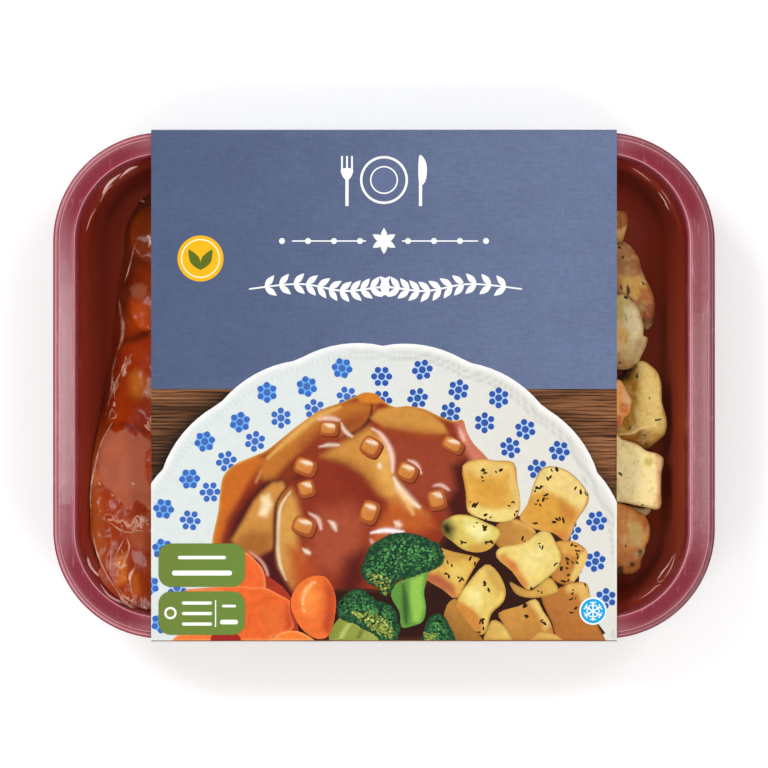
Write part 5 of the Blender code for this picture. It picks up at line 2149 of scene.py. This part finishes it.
def add_cutlery(marks):
    """A plate between a fork and a knife."""
    centre = photo_mm(*DISH_AT)
    ring, hole = disc(centre, length_mm(24), 48), disc(centre, length_mm(21.6), 48)
    for quad in zip(ring, ring[1:] + ring[:1], hole[1:] + hole[:1], hole):
        marks.add(list(quad), 2, ORNAMENT_WHITE)
    add_disc(marks, DISH_AT, 14, 36, 2, ORNAMENT_WHITE)
    add_disc(marks, DISH_AT, 12.6, 36, 3, "#616d8f")
    for shift in (-5, 0, 5):
        add_bar(marks, (FORK_X + shift, 156), (FORK_X + shift, 172), 1.8)
    add_bar(marks, (FORK_X, 172), (FORK_X, 206), 3.2)
    marks.add(curved(photo_path(FORK_NECK), 3), 3, ORNAMENT_WHITE)
    marks.add(curved(photo_path(KNIFE_BLADE), 3), 2, ORNAMENT_WHITE)
    add_bar(marks, (KNIFE_X, 158), (KNIFE_X, 206), 3.2)


def add_star_line(marks):
    """Two rules with dots along them and a star between."""
    px, py = STAR_AT
    add_bar(marks, (292, py), (366, py), 1.3)
    add_bar(marks, (402, py), (478, py), 1.3)
    for turn in range(6):
        marks.add(leaf(photo_mm(px, py), 13, math.radians(60 * turn + 30), 0.5), 2, ORNAMENT_WHITE)
    for side in (-1, 1):
        for step in range(4):
            marks.add(disc(photo_mm(px + side * (24 + step * 26), py), 1.0, 12), 2, ORNAMENT_WHITE)


def add_branch(marks):
    """A stem with pairs of leaves that point to its middle."""
    path = curved(photo_path(BRANCH), 8, closed=False)
    marks.add(stroke(path, [0.5, 0.7, 0.5]), 2, ORNAMENT_WHITE)
    middle = photo_mm(*BRANCH_MIDDLE)
    for index in range(3, len(path) - 3, 2):
        along = path[index + 1] - path[index - 1]
        back = 0 if path[index].x < middle.x else math.pi
        for side in (-1, 1):
            angle = math.atan2(along.y, along.x) + side * 0.75 + back
            marks.add(leaf(path[index], 15, angle, 0.42), 2, ORNAMENT_WHITE)


def print_ornaments():
    """Plain ornaments on the slate field."""
    marks = Print("print_ornaments", ink("ornament_ink", 0.99, 1.01, 900))
    add_cutlery(marks)
    add_star_line(marks)
    add_branch(marks)
    marks.finish()


def add_green_badges(badges):
    """Two green badges with plain bars and a ring."""
    left, right = BADGE_SIDES
    for top, bottom in BADGE_ROWS:
        box = rounded_box(left, top, right, bottom, 12)
        badges.add(box, 18, painted("#6c8035", slope("#688a3a", 0, 0.6)), cell=4.0)
    for py, left, right, high in BADGE_BARS:
        bar = rounded_box(left, py - high / 2, right, py + high / 2, high / 2 - 0.1)
        badges.add(bar, 19, BADGE_WHITE)
    badges.add(rounded_box(215, 600, 216.2, 627, 0.4), 19, BADGE_WHITE)
    add_disc(badges, RING_AT, 6.2, 24, 19, BADGE_WHITE)
    add_disc(badges, RING_AT, 4.0, 24, 20, "#74883a")


def add_leaf_badge(badges):
    """A yellow badge with a pale ring and two leaves."""
    for level, (radius, code) in enumerate(((23, "#f6b614"), (19.5, "#fdf3cf"), (18.3, "#f6b614")), 2):
        add_disc(badges, LEAF_BADGE_AT, radius, 48, level, code)
    for turn in (60, 120):
        badges.add(leaf(photo_mm(*LEAVES_FROM), 24, math.radians(turn), 0.42), 5, "#5c6a1e")


def add_snowflake(badges):
    """A blue badge with a snowflake."""
    add_disc(badges, FROST_AT, 13.8, 40, 18, FROST_WHITE)
    add_disc(badges, FROST_AT, 12.2, 40, 19, "#19a3df")
    for turn in range(6):
        angle = math.radians(60 * turn + 30)
        arm = [away_from(FROST_AT, reach, angle) for reach in (0, 5, 9.6)]
        badges.add(stroke(arm, [0.42, 0.42]), 20, FROST_WHITE)
        for reach, size in ((4.2, 0.5), (7.0, 0.33)):
            for side in (-1, 1):
                twig = [away_from(FROST_AT, reach + further, angle + side * off)
                        for further, off in ((0, 0), (1.2, 0.16), (2.4, size))]
                badges.add(stroke(twig, [0.34, 0.34]), 20, FROST_WHITE)


def print_badges():
    """Badges over the plate and the slate field."""
    badges = Print("print_badges", ink("badge_ink", 0.97, 1.03, 700))
    add_green_badges(badges)
    add_leaf_badge(badges)
    add_snowflake(badges)
    badges.finish()


def make_print():
    print_slate()
    print_wood()
    print_plate()
    print_plate_marks()
    print_food()
    print_ornaments()
    print_badges()


# Floor, lights and camera

FLOOR_SIZE = 6.0
FLOOR_GLOW = 0.12
WORLD_LIGHT = 0.45
LIT_POINT = Vector((0, 0, 0.03))
# Lights: name, place, width and length, power
SQUARE_LIGHTS = (
    ("top", (0.0, 0.0, 2.3), (0.3, 0.3), 8),
    ("key", (-0.8, 0.8, 1.5), (0.5, 0.5), 9.5),
    ("fill", (0.8, -0.8, 1.5), (0.5, 0.5), 6),
    ("far_right", (0.8, 0.8, 1.5), (0.4, 0.4), 3.5),
    ("near_left", (-0.8, -0.8, 1.5), (0.4, 0.4), 3),
)
OVAL_LIGHTS = (
    ("left_strip", (-0.285, 0.0, 1.9), (0.2, 0.36), 0.85),
    ("right_strip", (0.285, -0.03, 1.9), (0.2, 0.5), 0.45),
)


def floor_paint():
    """A white floor that glows a little."""
    nodes = Nodes("floor")
    nodes.set(Base_Color=(0.98, 0.98, 0.98), Roughness=0.9, Emission_Color=(1.0, 1.0, 1.0),
              Emission_Strength=FLOOR_GLOW)
    return nodes.material


def make_stage():
    bpy.ops.mesh.primitive_plane_add(size=FLOOR_SIZE)
    floor = bpy.context.object
    floor.name = "floor"
    floor.data.materials.append(floor_paint())
    world = bpy.data.worlds.new("world")
    bpy.context.scene.world = world
    world.use_nodes = True
    back = world.node_tree.nodes["Background"]
    back.inputs["Color"].default_value = (1.0, 1.0, 1.0, 1.0)
    back.inputs["Strength"].default_value = WORLD_LIGHT


def add_light(shape, name, place, size, power):
    data = bpy.data.lights.new(name, "AREA")
    data.shape = shape
    data.size, data.size_y = size
    data.energy = power
    light = bpy.data.objects.new(name, data)
    bpy.context.scene.collection.objects.link(light)
    light.location = place
    light.rotation_euler = (Vector(place) - LIT_POINT).to_track_quat("Z", "Y").to_euler()


def make_lights():
    for light in SQUARE_LIGHTS:
        add_light("RECTANGLE", *light)
    for light in OVAL_LIGHTS:
        add_light("ELLIPSE", *light)


def make_camera():
    data = bpy.data.cameras.new("camera")
    data.lens = LENS
    data.sensor_width = SENSOR
    data.clip_end = 20
    camera = bpy.data.objects.new("camera", data)
    bpy.context.scene.collection.objects.link(camera)
    distance = FRAME_PX * PX * LENS / SENSOR
    over = photo_mm(FRAME_PX / 2, FRAME_PX / 2) * MM
    camera.location = (over.x, over.y, SLEEVE_TOP + distance)
    bpy.context.scene.camera = camera
    bpy.context.scene.view_settings.view_transform = "Standard"


def main():
    make_stage()
    make_lights()
    make_camera()
    make_tray()
    make_corner_glints()
    make_film()
    make_food()
    make_sleeve()
    make_print()


main()
